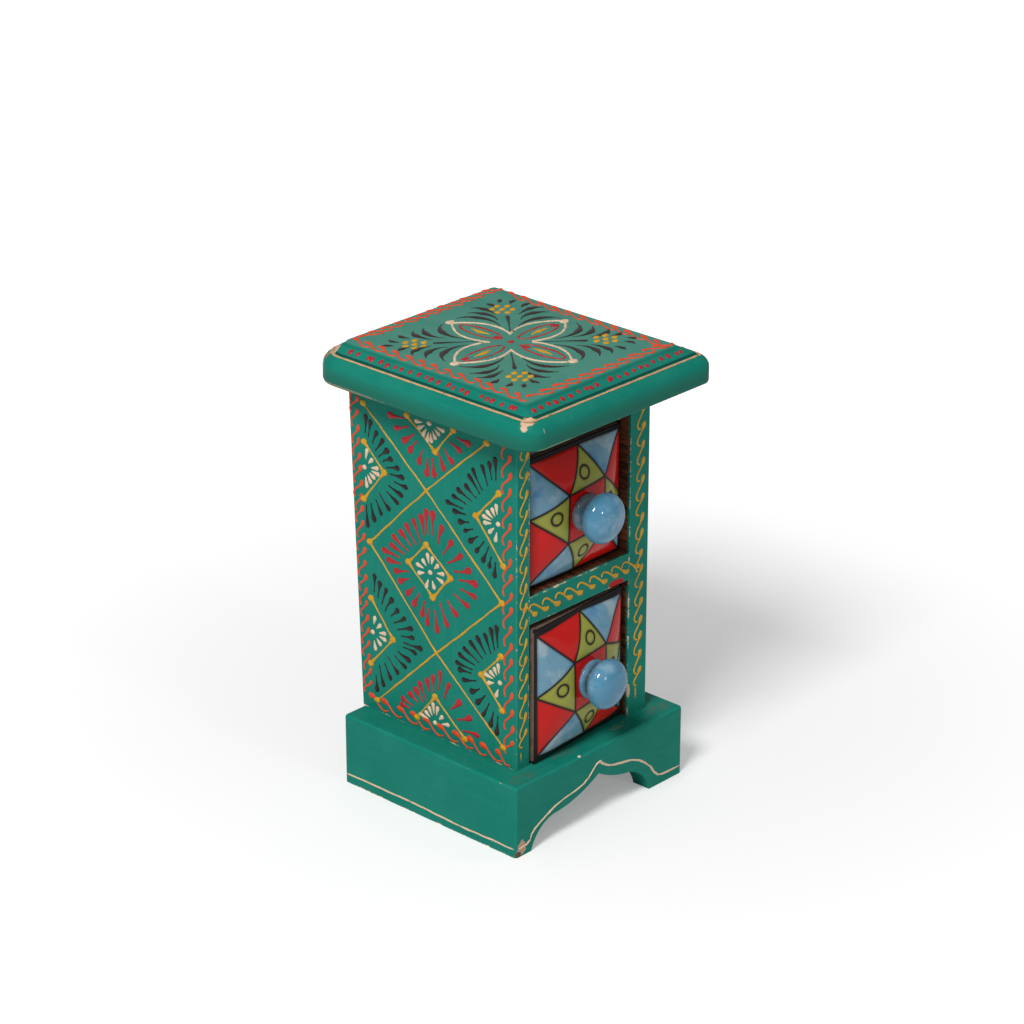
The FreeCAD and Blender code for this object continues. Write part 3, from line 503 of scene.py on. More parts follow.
class Relief:
    """Raised paint on one face, collected in that face's own plane."""

    def __init__(self, height):
        self.height = height
        self.points = []
        self.faces = []
        self.colours = []
        self.count = 0

    def ridges(self, paths, halves, colour, flatness=0.8, lift=1.0):
        """Adds ridges: paths is ridge x point x 2, halves is ridge x point, lift scales their height."""
        rises = np.minimum(halves * flatness, self.height) * lift
        ridges, steps = halves.shape
        size = steps * RING_COUNT
        quads = grid_faces(steps, RING_COUNT, wrap=True)
        starts = self.count + np.arange(ridges)[:, None, None] * size
        self.faces += (starts + quads[None]).reshape(-1, 4).tolist()
        ring = np.arange(RING_COUNT)
        for cap in (ring[::-1], size - RING_COUNT + ring):
            self.faces += (starts[:, 0] + cap[None]).tolist()
        self.points.append(ridge_points(paths, halves, rises).reshape(-1, 3))
        self.colours.append(np.tile(np.array(colour), (ridges * size, 1)))
        self.count += ridges * size

    def drops(self, tails, heads, colour, head=1.3, tail=0.35, bends=0.0, power=1.4, blob=0.0, steps=11):
        """Teardrops: thin at the tail, swelling with a power of the way, and round at the head.

        blob widens the tail's own end, where the cone was set down.
        """
        tails = np.atleast_2d(tails).astype(float)
        heads = np.atleast_2d(heads).astype(float)
        way = (1 - np.cos(np.linspace(0.0, np.pi, steps))) / 2
        straight = heads - tails
        sideways = np.stack([-straight[:, 1], straight[:, 0]], axis=-1)
        bends = np.broadcast_to(bends, len(tails))
        arch = (way * (1 - way))[None, :, None] * sideways[:, None] * bends[:, None, None] * 2
        paths = tails[:, None] + straight[:, None] * way[None, :, None] + arch
        length = np.linalg.norm(straight, axis=1)
        head = np.broadcast_to(head, len(tails))
        start = np.clip(1 - 1.1 * head / length, 0.3, 0.9)
        power = np.broadcast_to(power, len(tails))[:, None]
        swell = tail + (head[:, None] - tail) * (way[None] / start[:, None]).clip(0, 1) ** power
        swell += blob * np.exp(-(((way[None] - 0.07) / 0.09) ** 2))
        end = ((way[None] - start[:, None]) / (1 - start[:, None])).clip(0, 1)
        nose = np.sqrt((way[None] / 0.1).clip(0.03, 1))
        self.ridges(paths, swell * np.sqrt(1 - end ** 2 * 0.995) * nose, colour)

    def dots(self, centres, radii, colour, steps=7):
        """Round dots: a ridge whose half width follows a circle."""
        centres = np.atleast_2d(centres).astype(float)
        radii = np.broadcast_to(radii, len(centres))
        way = -np.cos(np.linspace(0.0, np.pi, steps))
        paths = np.repeat(centres[:, None], steps, axis=1)
        paths[..., 0] += radii[:, None] * way
        self.ridges(paths, radii[:, None] * np.sqrt(1 - (way * 0.995) ** 2)[None], colour, 0.6, lift=1.3)

    def line(self, corners, half, colour, pitch=2.0, wander=0.1, gather=0.0, seed=1):
        """A hand-drawn line through the corners, a little uneven in place and width.

        gather is how much wider the paint lies at the corners, falling off within a few millimetres.
        """
        corners = np.asarray(corners, dtype=float)
        lengths = np.linalg.norm(np.diff(corners, axis=0), axis=1)
        reach = np.concatenate([[0.0], np.cumsum(lengths)])
        steps = max(int(reach[-1] / pitch) + 1, 3)
        at = np.union1d(np.linspace(0.0, reach[-1], steps), reach)
        path = np.stack([np.interp(at, reach, corners[:, axis]) for axis in (0, 1)], axis=-1)
        wave = np.random.default_rng(seed).normal(size=(3, len(at)))
        wave = (wave + np.roll(wave, 1, axis=1) + np.roll(wave, -1, axis=1)) / 1.7
        path += wave[:2].T * wander
        near = np.abs(at[:, None] - reach[None]).min(axis=1)
        halves = half * (1 + 0.12 * wave[2]) + gather * np.exp(-((near / 2.1) ** 2))
        halves[[0, -1]] *= 0.5
        self.ridges(path[None], halves[None], colour)

    def leaves(self, marks, colour, fat=1.35, peak=0.62, power=1.5, steps=13):
        """Strokes thin at both ends. Their middle line is the polynomial through the marks."""
        marks = np.asarray(marks, dtype=float)
        lengths = np.linalg.norm(np.diff(marks, axis=1), axis=2)
        reach = np.concatenate([np.zeros((len(marks), 1)), np.cumsum(lengths, axis=1)], axis=1)
        reach /= reach[:, -1:]
        way = np.linspace(0.0, 1.0, steps)
        degree = marks.shape[1] - 1
        paths = np.stack([np.stack([np.polyval(np.polyfit(at, stroke[:, axis], degree), way)
                                    for axis in (0, 1)], axis=-1) for at, stroke in zip(reach, marks)])
        swell = np.where(way < peak, way / peak, (1 - way) / (1 - peak)) ** power
        self.ridges(paths, np.tile(0.28 + (fat - 0.28) * swell, (len(marks), 1)), colour)

    def chain(self, start, end, count, width, colour, scroll, head=1.1, tail=0.42, mirror=False, seed=3):
        """Scrolls along a line, each from its round head to the thin hook beside the next head."""
        start = np.asarray(start, dtype=float)
        end = np.asarray(end, dtype=float)
        along = (end - start) / count
        side = np.array([-along[1], along[0]]) / np.linalg.norm(along)
        side = -side if mirror else side
        uneven = np.random.default_rng(seed).normal(size=(count, 4))
        path = smoothed(np.asarray(scroll, dtype=float))
        starts = start + (np.arange(count)[:, None] + 0.05 * uneven[:, :1]) * along
        run = 1 + 0.05 * uneven[:, 1:2]
        run[-1] *= 0.72
        sway = width * (1 + 0.08 * uneven[:, 2:3])
        paths = (starts[:, None] + (run * path[:, 0])[..., None] * along
                 + (sway * path[:, 1])[..., None] * side)
        steps = np.linalg.norm(np.diff(path * (np.linalg.norm(along), width), axis=0), axis=1)
        way = np.concatenate([[0.0], np.cumsum(steps)]) / steps.sum()
        swell = tail + (head * (1 + 0.08 * uneven[:, 3:]) - tail) * np.exp(-(((way - 0.1) / 0.17) ** 4))
        ends = np.sqrt(np.minimum(way / 0.07, (1 - way) / 0.04).clip(0.02, 1.0))
        self.ridges(paths, swell * ends, colour)

    def piece(self, name, place, material):
        """Puts the paint on its face. place takes points in the plane, with their height last.

        The ridges' faces are turned round where place keeps the plane's hand, so that all look outward.
        """
        points = place(np.concatenate(self.points))
        origin, across, up, out = place(np.concatenate([np.zeros((1, 3)), np.eye(3)]))
        kept = np.dot(np.cross(across - origin, up - origin), out - origin) > 0
        faces = [face[::-1] for face in self.faces] if kept else self.faces
        add_piece(name, points, faces, "case", "painted_wood", material,
                  paint_colour=np.concatenate(self.colours))


def raised_paint_material():
    """Thick glossy paint squeezed from a cone: the colour attribute, a little uneven, with fine ripples."""
    material, shading, shader = new_material("Raised paint")
    place = shading.place()
    tone = shading.noise(place, 0.5, detail=3.0)
    colour = shading.attribute("paint_colour").outputs["Color"]
    darker = shading.blend(1.0, colour, (0.72, 0.68, 0.66), mode="MULTIPLY")
    colour = shading.blend(shading.step(tone, 0.35, 0.7, 0.5, 0.0), colour, darker)
    dress(shading, shader, colour, 0.34, 0.3, (shading.noise(place, 1.4, detail=2.0), 0.4, 0.08))
    return material


# Top board

# Radii of the lip's corners: front left, front right, back right and back left.
TOP_RADII = (10.0, 6.0, 9.0, 14.0)
LEAST_RADIUS = 1.6
LIP_MIDDLE = 190.0

# The moulding's slope starts at this inset and is this wide, and its upper end lies so much further in.
MOULDING_FOOT = 4.6
MOULDING_SPAN = 6.6
MOULDING_SHIFTS = {"left": -0.3, "right": 1.1, "front": 0.8, "back": -0.6}


def edge_levels(field_level):
    """Inset from the top's edge and height, from under the lip to the flat field."""
    return np.array([
        (30.0, 185.7), (1.2, 185.7), (0.35, 186.05), (0.0, 186.9), (0.0, 189.8), (0.0, 192.6),
        (0.22, 194.0), (0.7, 195.1), (1.6, 196.3), (2.6, 197.1), (3.5, 197.6), (4.1, 197.8),
        (4.6, 197.7), (4.85, 197.9), (5.4, 198.6), (6.3, 199.4), (7.3, 200.0), (8.6, 200.65),
        (9.6, 201.2), (10.3, 201.75), (10.8, field_level - 0.12), (11.2, field_level),
        (12.2, field_level), (30.0, field_level), (50.0, field_level)])


def moulding_level(points, field_level):
    """Height of the moulding's slope under points: the inset from the nearest side, up the profile."""
    x, y = points[:, 0], points[:, 1]
    away = {"left": x - TOP_LOW[0], "right": TOP_HIGH[0] - x,
            "front": y - TOP_LOW[1], "back": TOP_HIGH[1] - y}
    insets = [(away[side] + MOULDING_FOOT * shift / MOULDING_SPAN) / (1 + shift / MOULDING_SPAN)
              for side, shift in MOULDING_SHIFTS.items()]
    # From the lip's side on, the inset grows all the way.
    levels = edge_levels(field_level)[4:]
    return np.interp(np.min(insets, axis=0), levels[:, 0], levels[:, 1])


def fan(middle, first, second):
    """Triangles from a middle point to the sides of a closed ring."""
    return np.column_stack([np.full(len(first), middle), first, second]).tolist()


def top_board_mesh(field_level):
    """The edge profile carried round the rounded outline, closed to a middle point above and below."""
    profile = edge_levels(field_level)
    rings = []
    insets = []
    for inset, level in profile:
        above = level > LIP_MIDDLE
        share = float(np.clip((inset - MOULDING_FOOT) / MOULDING_SPAN, 0.0, 1.0)) if above else 0.0
        reach = {side: inset + shift * share for side, shift in MOULDING_SHIFTS.items()}
        ring = rounded_ring(TOP_LOW[0] + reach["left"], TOP_HIGH[0] - reach["right"],
                            TOP_LOW[1] + reach["front"], TOP_HIGH[1] - reach["back"],
                            np.maximum(np.array(TOP_RADII) - inset, LEAST_RADIUS))
        rings.append(np.column_stack([ring, np.full(len(ring), level)]))
        insets.append(np.full(len(ring), inset))
    count = len(rings[0])
    faces = grid_faces(len(rings), count, wrap=True).tolist()
    x, y = ((TOP_LOW + TOP_HIGH) / 2)[:2]
    points = np.concatenate([*rings, [(x, y, profile[0, 1]), (x, y, profile[-1, 1])]])
    ring = np.arange(count)
    after = (ring + 1) % count
    last = (len(rings) - 1) * count
    faces += fan(len(rings) * count, after, ring)
    faces += fan(len(rings) * count + 1, last + ring, last + after)
    return points, faces, np.concatenate([*insets, [60.0, 60.0]])


# Worn patches of the top: middle, half sizes and colour. Four at the near corner, three at the back left.
TOP_PATCHES = (
    ((-51.6, -57.0, 197.8), (3.8, 2.6, 1.9), (212, 178, 146)),
    ((-53.9, -57.0, 195.6), (1.4, 1.4, 3.2), (205, 174, 144)),
    ((-47.8, -62.6, 195.0), (0.35, 0.8, 2.2), (128, 152, 126)),
    ((-42.0, -62.3, 186.3), (12.0, 1.6, 0.6), (106, 138, 112)),
    ((-50.0, 55.2, 199.8), (4.2, 3.4, 2.8), (200, 166, 146)),
    ((-52.8, 58.0, 197.4), (3.2, 3.2, 2.4), (158, 112, 86)),
    ((-56.6, 44.0, 186.6), (1.2, 26.0, 0.7), (126, 128, 104)),
)
# The back left corner is also chipped all round within this distance.
WORN_CORNER = (-56.0, 62.0, 192.0)
WORN_REACH = 6.0
GROOVE_INSET = 5.3
SLOPE_END_INSET = 10.0


def top_material(colours):
    """Brushed teal, with a painted sheen paler on the flat field, painted shade in the groove, at the step to
    the slope and low on the lip, worn through at two corners.
    """
    material, shading, shader = new_material("Painted top")
    place = shading.place()
    coat = teal_coat(shading, place, (1.0, 0.14, 1.0), colours)
    inset = shading.attribute("inset").outputs["Fac"]
    # Painted sheen: the flat field turns paler and greyer in patches, standing for the bright surroundings
    # mirrored at a low angle.
    sheen_patches = shading.noise(place, 0.12, detail=5.0, stretch=(1.0, 0.3, 1.0))
    painted_sheen = shading.math("MULTIPLY", shading.step(inset, 9.8, 11.4),
                          shading.step(sheen_patches, 0.3, 0.6, 0.72, 1.0))
    colour = shading.blend(painted_sheen, coat["Colour"], colours.teal_field_sheen)
    # Painted shade: a dark band along the groove inside the tan line, and a fainter one at the step from the
    # field down to the slope.
    groove = shading.math("ABSOLUTE", shading.math("SUBTRACT", inset, GROOVE_INSET))
    slope_end = shading.math("ABSOLUTE", shading.math("SUBTRACT", inset, SLOPE_END_INSET))
    colour = shading.blend(shading.step(groove, 0.5, 0.2, 0.0, 0.75), colour, (0.004, 0.02, 0.016))
    colour = shading.blend(shading.step(slope_end, 1.1, 0.2, 0.0, 0.25), colour, (0.004, 0.07, 0.055))
    up = shading.split(place)[2]
    # Painted shade: the lip darkens toward its lower edge.
    colour = shading.blend(shading.step(up, 195.0, 188.5, 0.0, 0.75), colour, paint(30, 100, 84))
    distance = shading.math("ADD", inset, shading.math("ABSOLUTE", shading.math("SUBTRACT", up, 185.9)))
    from_corner = shading.vector("DISTANCE", place, WORN_CORNER)
    distance = shading.math("MINIMUM", distance, shading.math("SUBTRACT", from_corner, WORN_REACH))
    colour = chipped(shading, place, colour, distance, 0.9, colours)[0]
    colour = worn_patches(shading, place, colour, TOP_PATCHES)
    dress(shading, shader, colour, coat["Rough"], PAINT_SPECULAR, (coat["Height"], *PAINT_BUMP))
    return material


# Tiles

# The glazed fields of a tile, each with its corners and its glaze. A later field covers an earlier one.
PINWHEEL = (
    ("A B C D", "red"), ("L A D", "green"), ("T B A", "green"), ("R C B", "green"), ("M D C", "green"),
    ("TL A L", "blue"), ("TL T A", "red"), ("TR B T", "blue"), ("TR R B", "red"),
    ("BR C R", "blue"), ("BR M C", "red"), ("BL D M", "blue"), ("BL L D", "red"),
)

# For each drawer: the plane of its front's rim and its turn, then the corners' places on the front, across
# from its middle and up from its foot, and the middles of its rings. The knob has its nose's distance past
# the rim, its collar's height and radius, and how much painted shade darkens its collar.
DRAWERS = {
    "upper": {
        "face": -37.0, "turn": 0.0,
        "marks": {"TL": (-27.7, 57.0), "T": (2.1, 57.2), "TR": (28.3, 57.0), "A": (-9.0, 39.1),
                  "B": (13.1, 41.1), "L": (-27.8, 32.0), "D": (-9.6, 17.8), "M": (-0.1, 1.4),
                  "BL": (-28.2, 2.2), "BR": (28.0, 2.0), "R": (28.4, 27.4), "C": (11.9, 19.9)},
        "rings": ((-15.9, 30.6), (0.9, 46.5), (0.8, 11.2), (16.4, 30.0)),
        "knob": (23.2, 4.0, 7.9, 0.6)},
    "lower": {
        "face": -41.2, "turn": math.radians(3.8),
        "marks": {"TL": (-29.0, 59.4), "T": (-0.3, 60.9), "TR": (27.8, 59.3), "A": (-11.0, 42.2),
                  "B": (10.4, 43.4), "L": (-28.8, 30.4), "D": (-10.4, 19.3), "M": (2.1, 3.0),
                  "BL": (-28.6, 3.2), "BR": (27.4, 4.6), "R": (27.8, 37.0), "C": (9.3, 21.3)},
        "rings": ((-17.5, 31.6), (0.7, 49.5), (0.7, 12.5), (15.0, 32.2)),
        "knob": (21.2, 2.4, 8.6, 0.15)},
}
DRAWER_MIDDLE = -2.4
TILE_WIDTH = 59.8
TILE_RING = 2.7
# The black lines' soft edge, how far from a line the glaze has risen, and its least thickness.
LINE_EDGE = 0.24
SWELL_REACH = 1.6
GLAZE_FOOT = 0.1


def to_segments(points, starts, ends):
    """Distance from each point to the nearest of the segments, by projection on each one."""
    best = np.full(len(points), 1e9)
    for start, end in zip(starts, ends):
        way = end - start
        share = np.clip(((points - start) @ way) / (way @ way), 0.0, 1.0)
        best = np.minimum(best, np.linalg.norm(points - start - share[:, None] * way, axis=1))
    return best


def inside_polygon(points, corners):
    """True where a ray from the point crosses the outline an odd number of times."""
    inside = np.zeros(len(points), bool)
    for first, second in zip(corners, np.roll(corners, -1, axis=0)):
        crosses = (first[1] > points[:, 1]) != (second[1] > points[:, 1])
        rise = second[1] - first[1]
        rise = rise if abs(rise) > 1e-9 else 1e-9
        at = first[0] + (points[:, 1] - first[1]) * (second[0] - first[0]) / rise
        inside ^= crosses & (points[:, 0] < at)
    return inside


def crown_rise(points, halves, sizes):
    """How far a drawer's front stands out at points measured from its middle.

    Rounded squares shrink evenly from the rim to the seat under the knob. The share of that way at which
    one of them runs through a point is found by its distance to them, and the front stands out by the
    crown's height times one less the square of the way that is left.
    """
    shares = np.linspace(0.0, 1.0, 60)[:, None]
    across, up = (half - sizes.crown_rim + (sizes.crown_seat - half + sizes.crown_rim) * shares
                  for half in halves)
    corner = np.clip(0.7 * (1 - (1 - shares) ** 5) * across, 0.5, np.minimum(across, up))
    over_u = np.abs(points[:, 0]) - across + corner
    over_v = np.abs(points[:, 1]) - up + corner
    outside = (np.hypot(over_u.clip(0), over_v.clip(0)) + np.maximum(over_u, over_v).clip(None, 0) - corner)
    held = (outside <= 0).sum(axis=0)
    before = (held - 1).clip(0)
    after = held.clip(None, len(shares) - 1)
    column = np.arange(len(points))
    step = outside[after, column] - outside[before, column]
    part = np.where(step > 0, -outside[before, column] / np.maximum(step, 1e-9), 0.0).clip(0, 1)
    way = np.where(held == 0, 0.0, (before + part) / (len(shares) - 1))
    return sizes.crown_height * (1 - (1 - way) ** 2)


def tile_mesh(drawer, height, sizes, colours):
    """Glaze over a drawer's front: a grid that rises like a pillow away from its lines and edges.

    Height over the ceramic is the pillow height times one less the exponential of the distance to the
    nearest line, and it falls away over the rounded edge as a quarter circle does.
    """
    half = TILE_WIDTH / 2
    across = int(TILE_WIDTH / sizes.tile_pitch)
    up = int(height / sizes.tile_pitch)
    u, v = np.meshgrid(np.linspace(-half, half, across), np.linspace(0.0, height, up))
    points = np.column_stack([u.ravel(), v.ravel()])
    colour = np.tile(np.array(colours.tile_line), (len(points), 1))
    outside = np.ones(len(points), bool)
    starts = []
    ends = []
    for letters, glaze in PINWHEEL:
        corners = np.array([drawer["marks"][letter] for letter in letters.split()])
        glazed = inside_polygon(points, corners)
        colour[glazed] = np.array(getattr(colours, f"tile_{glaze}"))
        outside[glazed] = False
        starts.extend(corners)
        ends.extend(np.roll(corners, -1, axis=0))
    distance = to_segments(points, starts, ends)
    for ring in drawer["rings"]:
        gap = np.abs(np.linalg.norm(points - np.array(ring), axis=1) - TILE_RING)
        distance = np.minimum(distance, gap)
    line = np.clip((sizes.tile_line / 2 + LINE_EDGE / 2 - distance) / LINE_EDGE, 0.0, 1.0)
    line[outside] = 1.0
    to_edge = np.minimum(half - np.abs(points[:, 0]), np.minimum(points[:, 1], height - points[:, 1]))
    swell = 1 - np.exp(-np.maximum(distance - sizes.tile_line / 2, 0.0) / SWELL_REACH)
    swell[outside] = 0.0
    fall = np.clip(1 - to_edge / sizes.crown_rim, 0.0, 1.0)
    drop = sizes.crown_rim * (1 - np.sqrt(1 - fall ** 2))
    crown = crown_rise(points - (0.0, height / 2), (half, height / 2), sizes)
    rise = crown + GLAZE_FOOT + sizes.pillow * swell - drop
    return np.column_stack([points, rise]), grid_faces(up, across).tolist(), colour, line, distance


def drawer_height(level):
    low, high = node_box(f"{level}_drawer")
    return high[2] - low[2]


def on_drawer(level, points):
    """Takes points on a drawer's front to their place: across it, up it and out from it."""
    drawer = DRAWERS[level]
    foot = node_box(f"{level}_drawer")[0][2]
    cosine = math.cos(drawer["turn"])
    sine = math.sin(drawer["turn"])
    u, v, out = points.T
    return np.column_stack([DRAWER_MIDDLE + u * cosine + out * sine,
                            drawer["face"] + u * sine - out * cosine, foot + v])


def glaze_material():
    """Glossy glaze, darker beside its matt black lines. The blue is washed, paler and deeper in clouds."""
    material, shading, shader = new_material("Tile glaze")
    place = shading.place()
    glaze = shading.attribute("glaze_colour").outputs["Color"]
    line = shading.attribute("line").outputs["Fac"]
    wash = shading.noise(place, 0.1, detail=4.0, rough=0.5)
    pool = shading.attribute("pool").outputs["Fac"]
    blue = shading.step(shading.add("ShaderNodeSeparateColor", {0: glaze}).outputs[2], 0.12, 0.2)
    thin = shading.step(wash, 0.5, 0.68, 0.0, 0.7)
    deep = shading.step(wash, 0.46, 0.3, 0.0, 0.75)
    washed = shading.blend(thin, glaze, paint(164, 180, 186))
    washed = shading.blend(deep, washed, paint(56, 118, 164))
    colour = shading.blend(blue, glaze, washed)
    dark = shading.blend(1.0, colour, (0.55, 0.45, 0.42), mode="MULTIPLY")
    colour = shading.blend(shading.step(pool, 1.6, 0.4, 0.0, 0.5), colour, dark)
    colour = shading.blend(line, colour, (0.006, 0.004, 0.004))
    dress(shading, shader, colour, shading.step(line, 0.0, 1.0, 0.08, 0.5), 0.25,
          (shading.noise(place, 0.35, detail=3.0), 0.25, 0.25))
    return material


# Knobs

# The knob's head: its radius, half its thickness and how far its widest ring lies behind its nose.
HEAD_RADIUS = 11.05
HEAD_HALF = 6.2
HEAD_MIDDLE = 6.25
WAIST_RADIUS = 6.25
# The collar's foot: how far it stands off its seat, how tall it is and the radius of its hole.
FOOT_GAP = 0.05
FOOT_TALL = 0.6
HOLE_RADIUS = 2.6


def knob_profile(seat, reach, collar, wide):
    """Radius and distance past the rim: swelling collar, waist, head as a flattened round, and its nose."""
    turns = np.linspace(-0.5 * np.pi, 0.5 * np.pi, 30)
    head_radius = HEAD_RADIUS * np.cos(turns).clip(0) ** 0.86
    head_out = reach - HEAD_MIDDLE + HEAD_HALF * np.sin(turns)
    keep = (head_radius > WAIST_RADIUS + 0.15) | (turns > 0)
    head = np.column_stack([head_radius[keep], head_out[keep]])
    way = np.linspace(0.0, 1.0, 10)
    tall = collar - FOOT_TALL
    swell = wide - 1.4 * way ** 2 + 0.6 * tall * way * (1 - way)
    sides = np.column_stack([swell, seat + FOOT_TALL + tall * way])
    waist = np.array([(wide - 1.8, seat + collar + 0.15), (WAIST_RADIUS - 0.25, seat + collar + 0.4),
                      (WAIST_RADIUS, head[0, 1] - 0.3)])
    foot = np.array([(HOLE_RADIUS, seat + FOOT_GAP), (wide, seat + FOOT_GAP)])
    return np.concatenate([foot, sides, waist, head])


def knob_mesh(seat, reach, collar, wide, collar_shade, around=64):
    """The profile turned about the knob's axis, a little out of round, closed at the nose and foot."""
    profile = knob_profile(seat, reach, collar, wide)
    angles = np.linspace(0.0, 2 * np.pi, around, endpoint=False)
    uneven = 1 + 0.006 * np.cos(2 * angles + 0.7) + 0.004 * np.cos(3 * angles)
    radius = profile[:, :1] * uneven[None]
    points = np.stack([radius * np.cos(angles), radius * np.sin(angles),
                       np.repeat(profile[:, 1:], around, axis=1)], axis=-1)
    points = points[:-1].reshape(-1, 3)
    faces = grid_faces(len(profile) - 1, around, wrap=True).tolist()
    ring = np.arange(around)
    after = (ring + 1) % around
    nose = len(points)
    last = nose - around
    points = np.concatenate([points, [(0.0, 0.0, profile[-1, 1]), (0.0, 0.0, seat + FOOT_GAP)]])
    faces += fan(nose, last + ring, last + after) + fan(nose + 1, after, ring)
    # Painted shade: the waist value darkens the groove between collar and head, where bare ceramic also
    # shows; the knob's last setting darkens the collar too, most on the upper knob under the top.
    waist = np.exp(-(((points[:, 2] - seat - collar - 0.45) / 0.55) ** 2))
    waist = np.maximum(waist, collar_shade * (points[:, 2] < seat + collar + 0.1))
    return points, faces, waist


def knob_material(colours):
    """Blue glaze, paler in soft clouds, darkened at the waist and the collar by painted shade in grey and by
    bare brown ceramic.
    """
    material, shading, shader = new_material("Knob glaze")
    place = shading.place()
    tone = shading.noise(place, 0.12, detail=4.0)
    light = shading.blend(0.2, colours.knob_blue, (0.75, 0.85, 0.92))
    colour = shading.blend(shading.step(tone, 0.45, 0.7), colours.knob_blue, light)
    waist = shading.attribute("waist").outputs["Fac"]
    bare = shading.step(shading.noise(place, 0.3, detail=3.0), 0.4, 0.6)
    # Grey here is painted shade; brown is bare ceramic.
    worn = shading.blend(bare, paint(44, 44, 46), paint(120, 84, 58))
    colour = shading.blend(shading.math("MULTIPLY", waist, 0.85), colour, worn)
    dress(shading, shader, colour, 0.06, bump=(shading.noise(place, 0.25, detail=2.0), 0.15, 0.25))
    return material


# Operators

# The lamps: name, place, size and power. Each one points at the origin. Lengths are metres.
LAMPS = (("key", (-1.2, -0.4, 1.55), 0.5, 28.0), ("spark", (0.0, -1.48, 0.54), 0.13, 1.8))
FLOOR_HALF = 6.0
SEEN_TO = 20.0
# Between these distances from the origin, in millimetres, the floor's glow grows to three times as much.
GLOW_RANGE = (100.0, 700.0)
FRAME_WIDTH = 36.0
# The world's light on the object, while the camera sees it white.
WORLD_LIGHT = 0.33


class CHEST_OT_stage(bpy.types.Operator):
    """Adds the floor, the lamps and the camera"""
    bl_idname = "chest.stage"
    bl_label = "Stage"

    def execute(self, context):
        scene = context.scene
        stage = scene.chest_stage
        turn = Matrix.Rotation(stage.camera_turn, 4, "Z")
        tilt = Matrix.Rotation(math.pi / 2 + stage.camera_tilt, 4, "X")
        camera = bpy.data.objects.new("camera", bpy.data.cameras.new("camera"))
        camera.data.lens = stage.lens
        camera.data.sensor_width = FRAME_WIDTH
        camera.data.clip_end = SEEN_TO
        camera.matrix_world = Matrix.Translation([value * MM for value in stage.camera_place]) @ turn @ tilt
        scene.collection.objects.link(camera)
        scene.camera = camera
        material, shading, shader = new_material("Floor")
        dress(shading, shader, stage.floor, 0.8, 0.0)
        shader.inputs["Emission Color"].default_value = (1.0, 1.0, 1.0, 1.0)
        seen = shading.add("ShaderNodeLightPath").outputs["Is Camera Ray"]
        away = shading.vector("LENGTH", shading.place())
        glow = shading.step(away, *GLOW_RANGE, stage.floor_glow, 3 * stage.floor_glow)
        shading.join(shader.inputs["Emission Strength"], shading.math("MULTIPLY", seen, glow))
        mesh = bpy.data.meshes.new("floor")
        corners = ((-1, -1), (1, -1), (1, 1), (-1, 1))
        mesh.from_pydata([(x * FLOOR_HALF, y * FLOOR_HALF, 0.0) for x, y in corners], [], [(0, 1, 2, 3)])
        mesh.materials.append(material)
        floor = bpy.data.objects.new("floor", mesh)
        scene.collection.objects.link(floor)
        self.light(scene)
        scene.view_settings.view_transform = "Standard"
        return {"FINISHED"}

    def light(self, scene):
        """A big soft lamp over the left, a small one for the glaze's highlights, and a pale world."""
        for name, place, size, power in LAMPS:
            data = bpy.data.lights.new(name, "AREA")
            data.size = size
            data.energy = power
            lamp = bpy.data.objects.new(name, data)
            turn = (-Vector(place)).to_track_quat("-Z", "Y")
            lamp.matrix_world = Matrix.Translation(place) @ turn.to_matrix().to_4x4()
            scene.collection.objects.link(lamp)
        world = bpy.data.worlds.new("studio")
        world.use_nodes = True
        scene.world = world
        shading = Shading(world.node_tree)
        background = world.node_tree.nodes["Background"]
        rays = shading.add("ShaderNodeLightPath").outputs
        seen = shading.math("MAXIMUM", rays["Is Camera Ray"], rays["Is Transmission Ray"])
        strength = shading.math("MAXIMUM", seen, WORLD_LIGHT)
        background.inputs["Color"].default_value = (1.0, 1.0, 1.0, 1.0)
        shading.join(background.inputs["Strength"], strength)


# Worn patches of the boards, and scuffed areas of the plinth's ledge: middle, half sizes and colour.
BOARD_PATCHES = {
    "plinth_front": (((-49.6, -52.0, 4.0), (2.6, 2.0, 3.6), (190, 150, 128)),
                     ((-51.6, -52.0, 1.2), (1.6, 2.0, 1.6), (104, 74, 60)),
                     ((-13.1, -51.2, 32.8), (1.0, 0.8, 0.8), (214, 196, 172))),
    "shelf": (((20.6, -41.2, 98.8), (4.6, 1.5, 1.7), (176, 36, 34)),),
    "right_side": (((29.4, -41.2, 45.0), (1.1, 1.5, 3.6), (196, 170, 144)),),
}
LEDGE_SCUFFS = (
    ((44.0, -45.0, 32.8), (12.0, 7.5, 3.0), (112, 84, 66)),
    ((-15.0, -44.5, 32.8), (13.0, 5.0, 3.0), (104, 84, 64)),
    ((-44.0, -47.0, 32.8), (14.0, 7.0, 3.0), (98, 84, 66)),
    ((20.0, -45.0, 32.8), (11.0, 3.4, 3.0), (136, 148, 122)),
)

# Which way the brush or the grain runs.
UPRIGHT = (1.0, 1.0, 0.14)
LEVEL = (0.14, 1.0, 1.0)
DEEP = (1.0, 0.14, 1.0)

# Each painted board: its brush strokes' direction, the reach of its chips and what is inside an opening,
# as (axis, level, side).
BOARDS = {
    "left_side": (UPRIGHT, 0.7, ((0, float(LEFT_HIGH[0]), 1.0),)),
    "right_side": (UPRIGHT, 0.9, ((0, float(RIGHT_LOW[0]), -1.0),)),
    "shelf": (LEVEL, 0.9, ((2, float(SHELF_HIGH[2]), 1.0), (2, float(SHELF_LOW[2]), -1.0))),
    "plinth_front": (LEVEL, 0.7, ()),
    "plinth_left": (DEEP, 0.7, ()),
    "plinth_right": (DEEP, 0.7, ()),
    "plinth_back": (LEVEL, 0.7, ()),
    "base_board": (LEVEL, 0.0, ()),
}

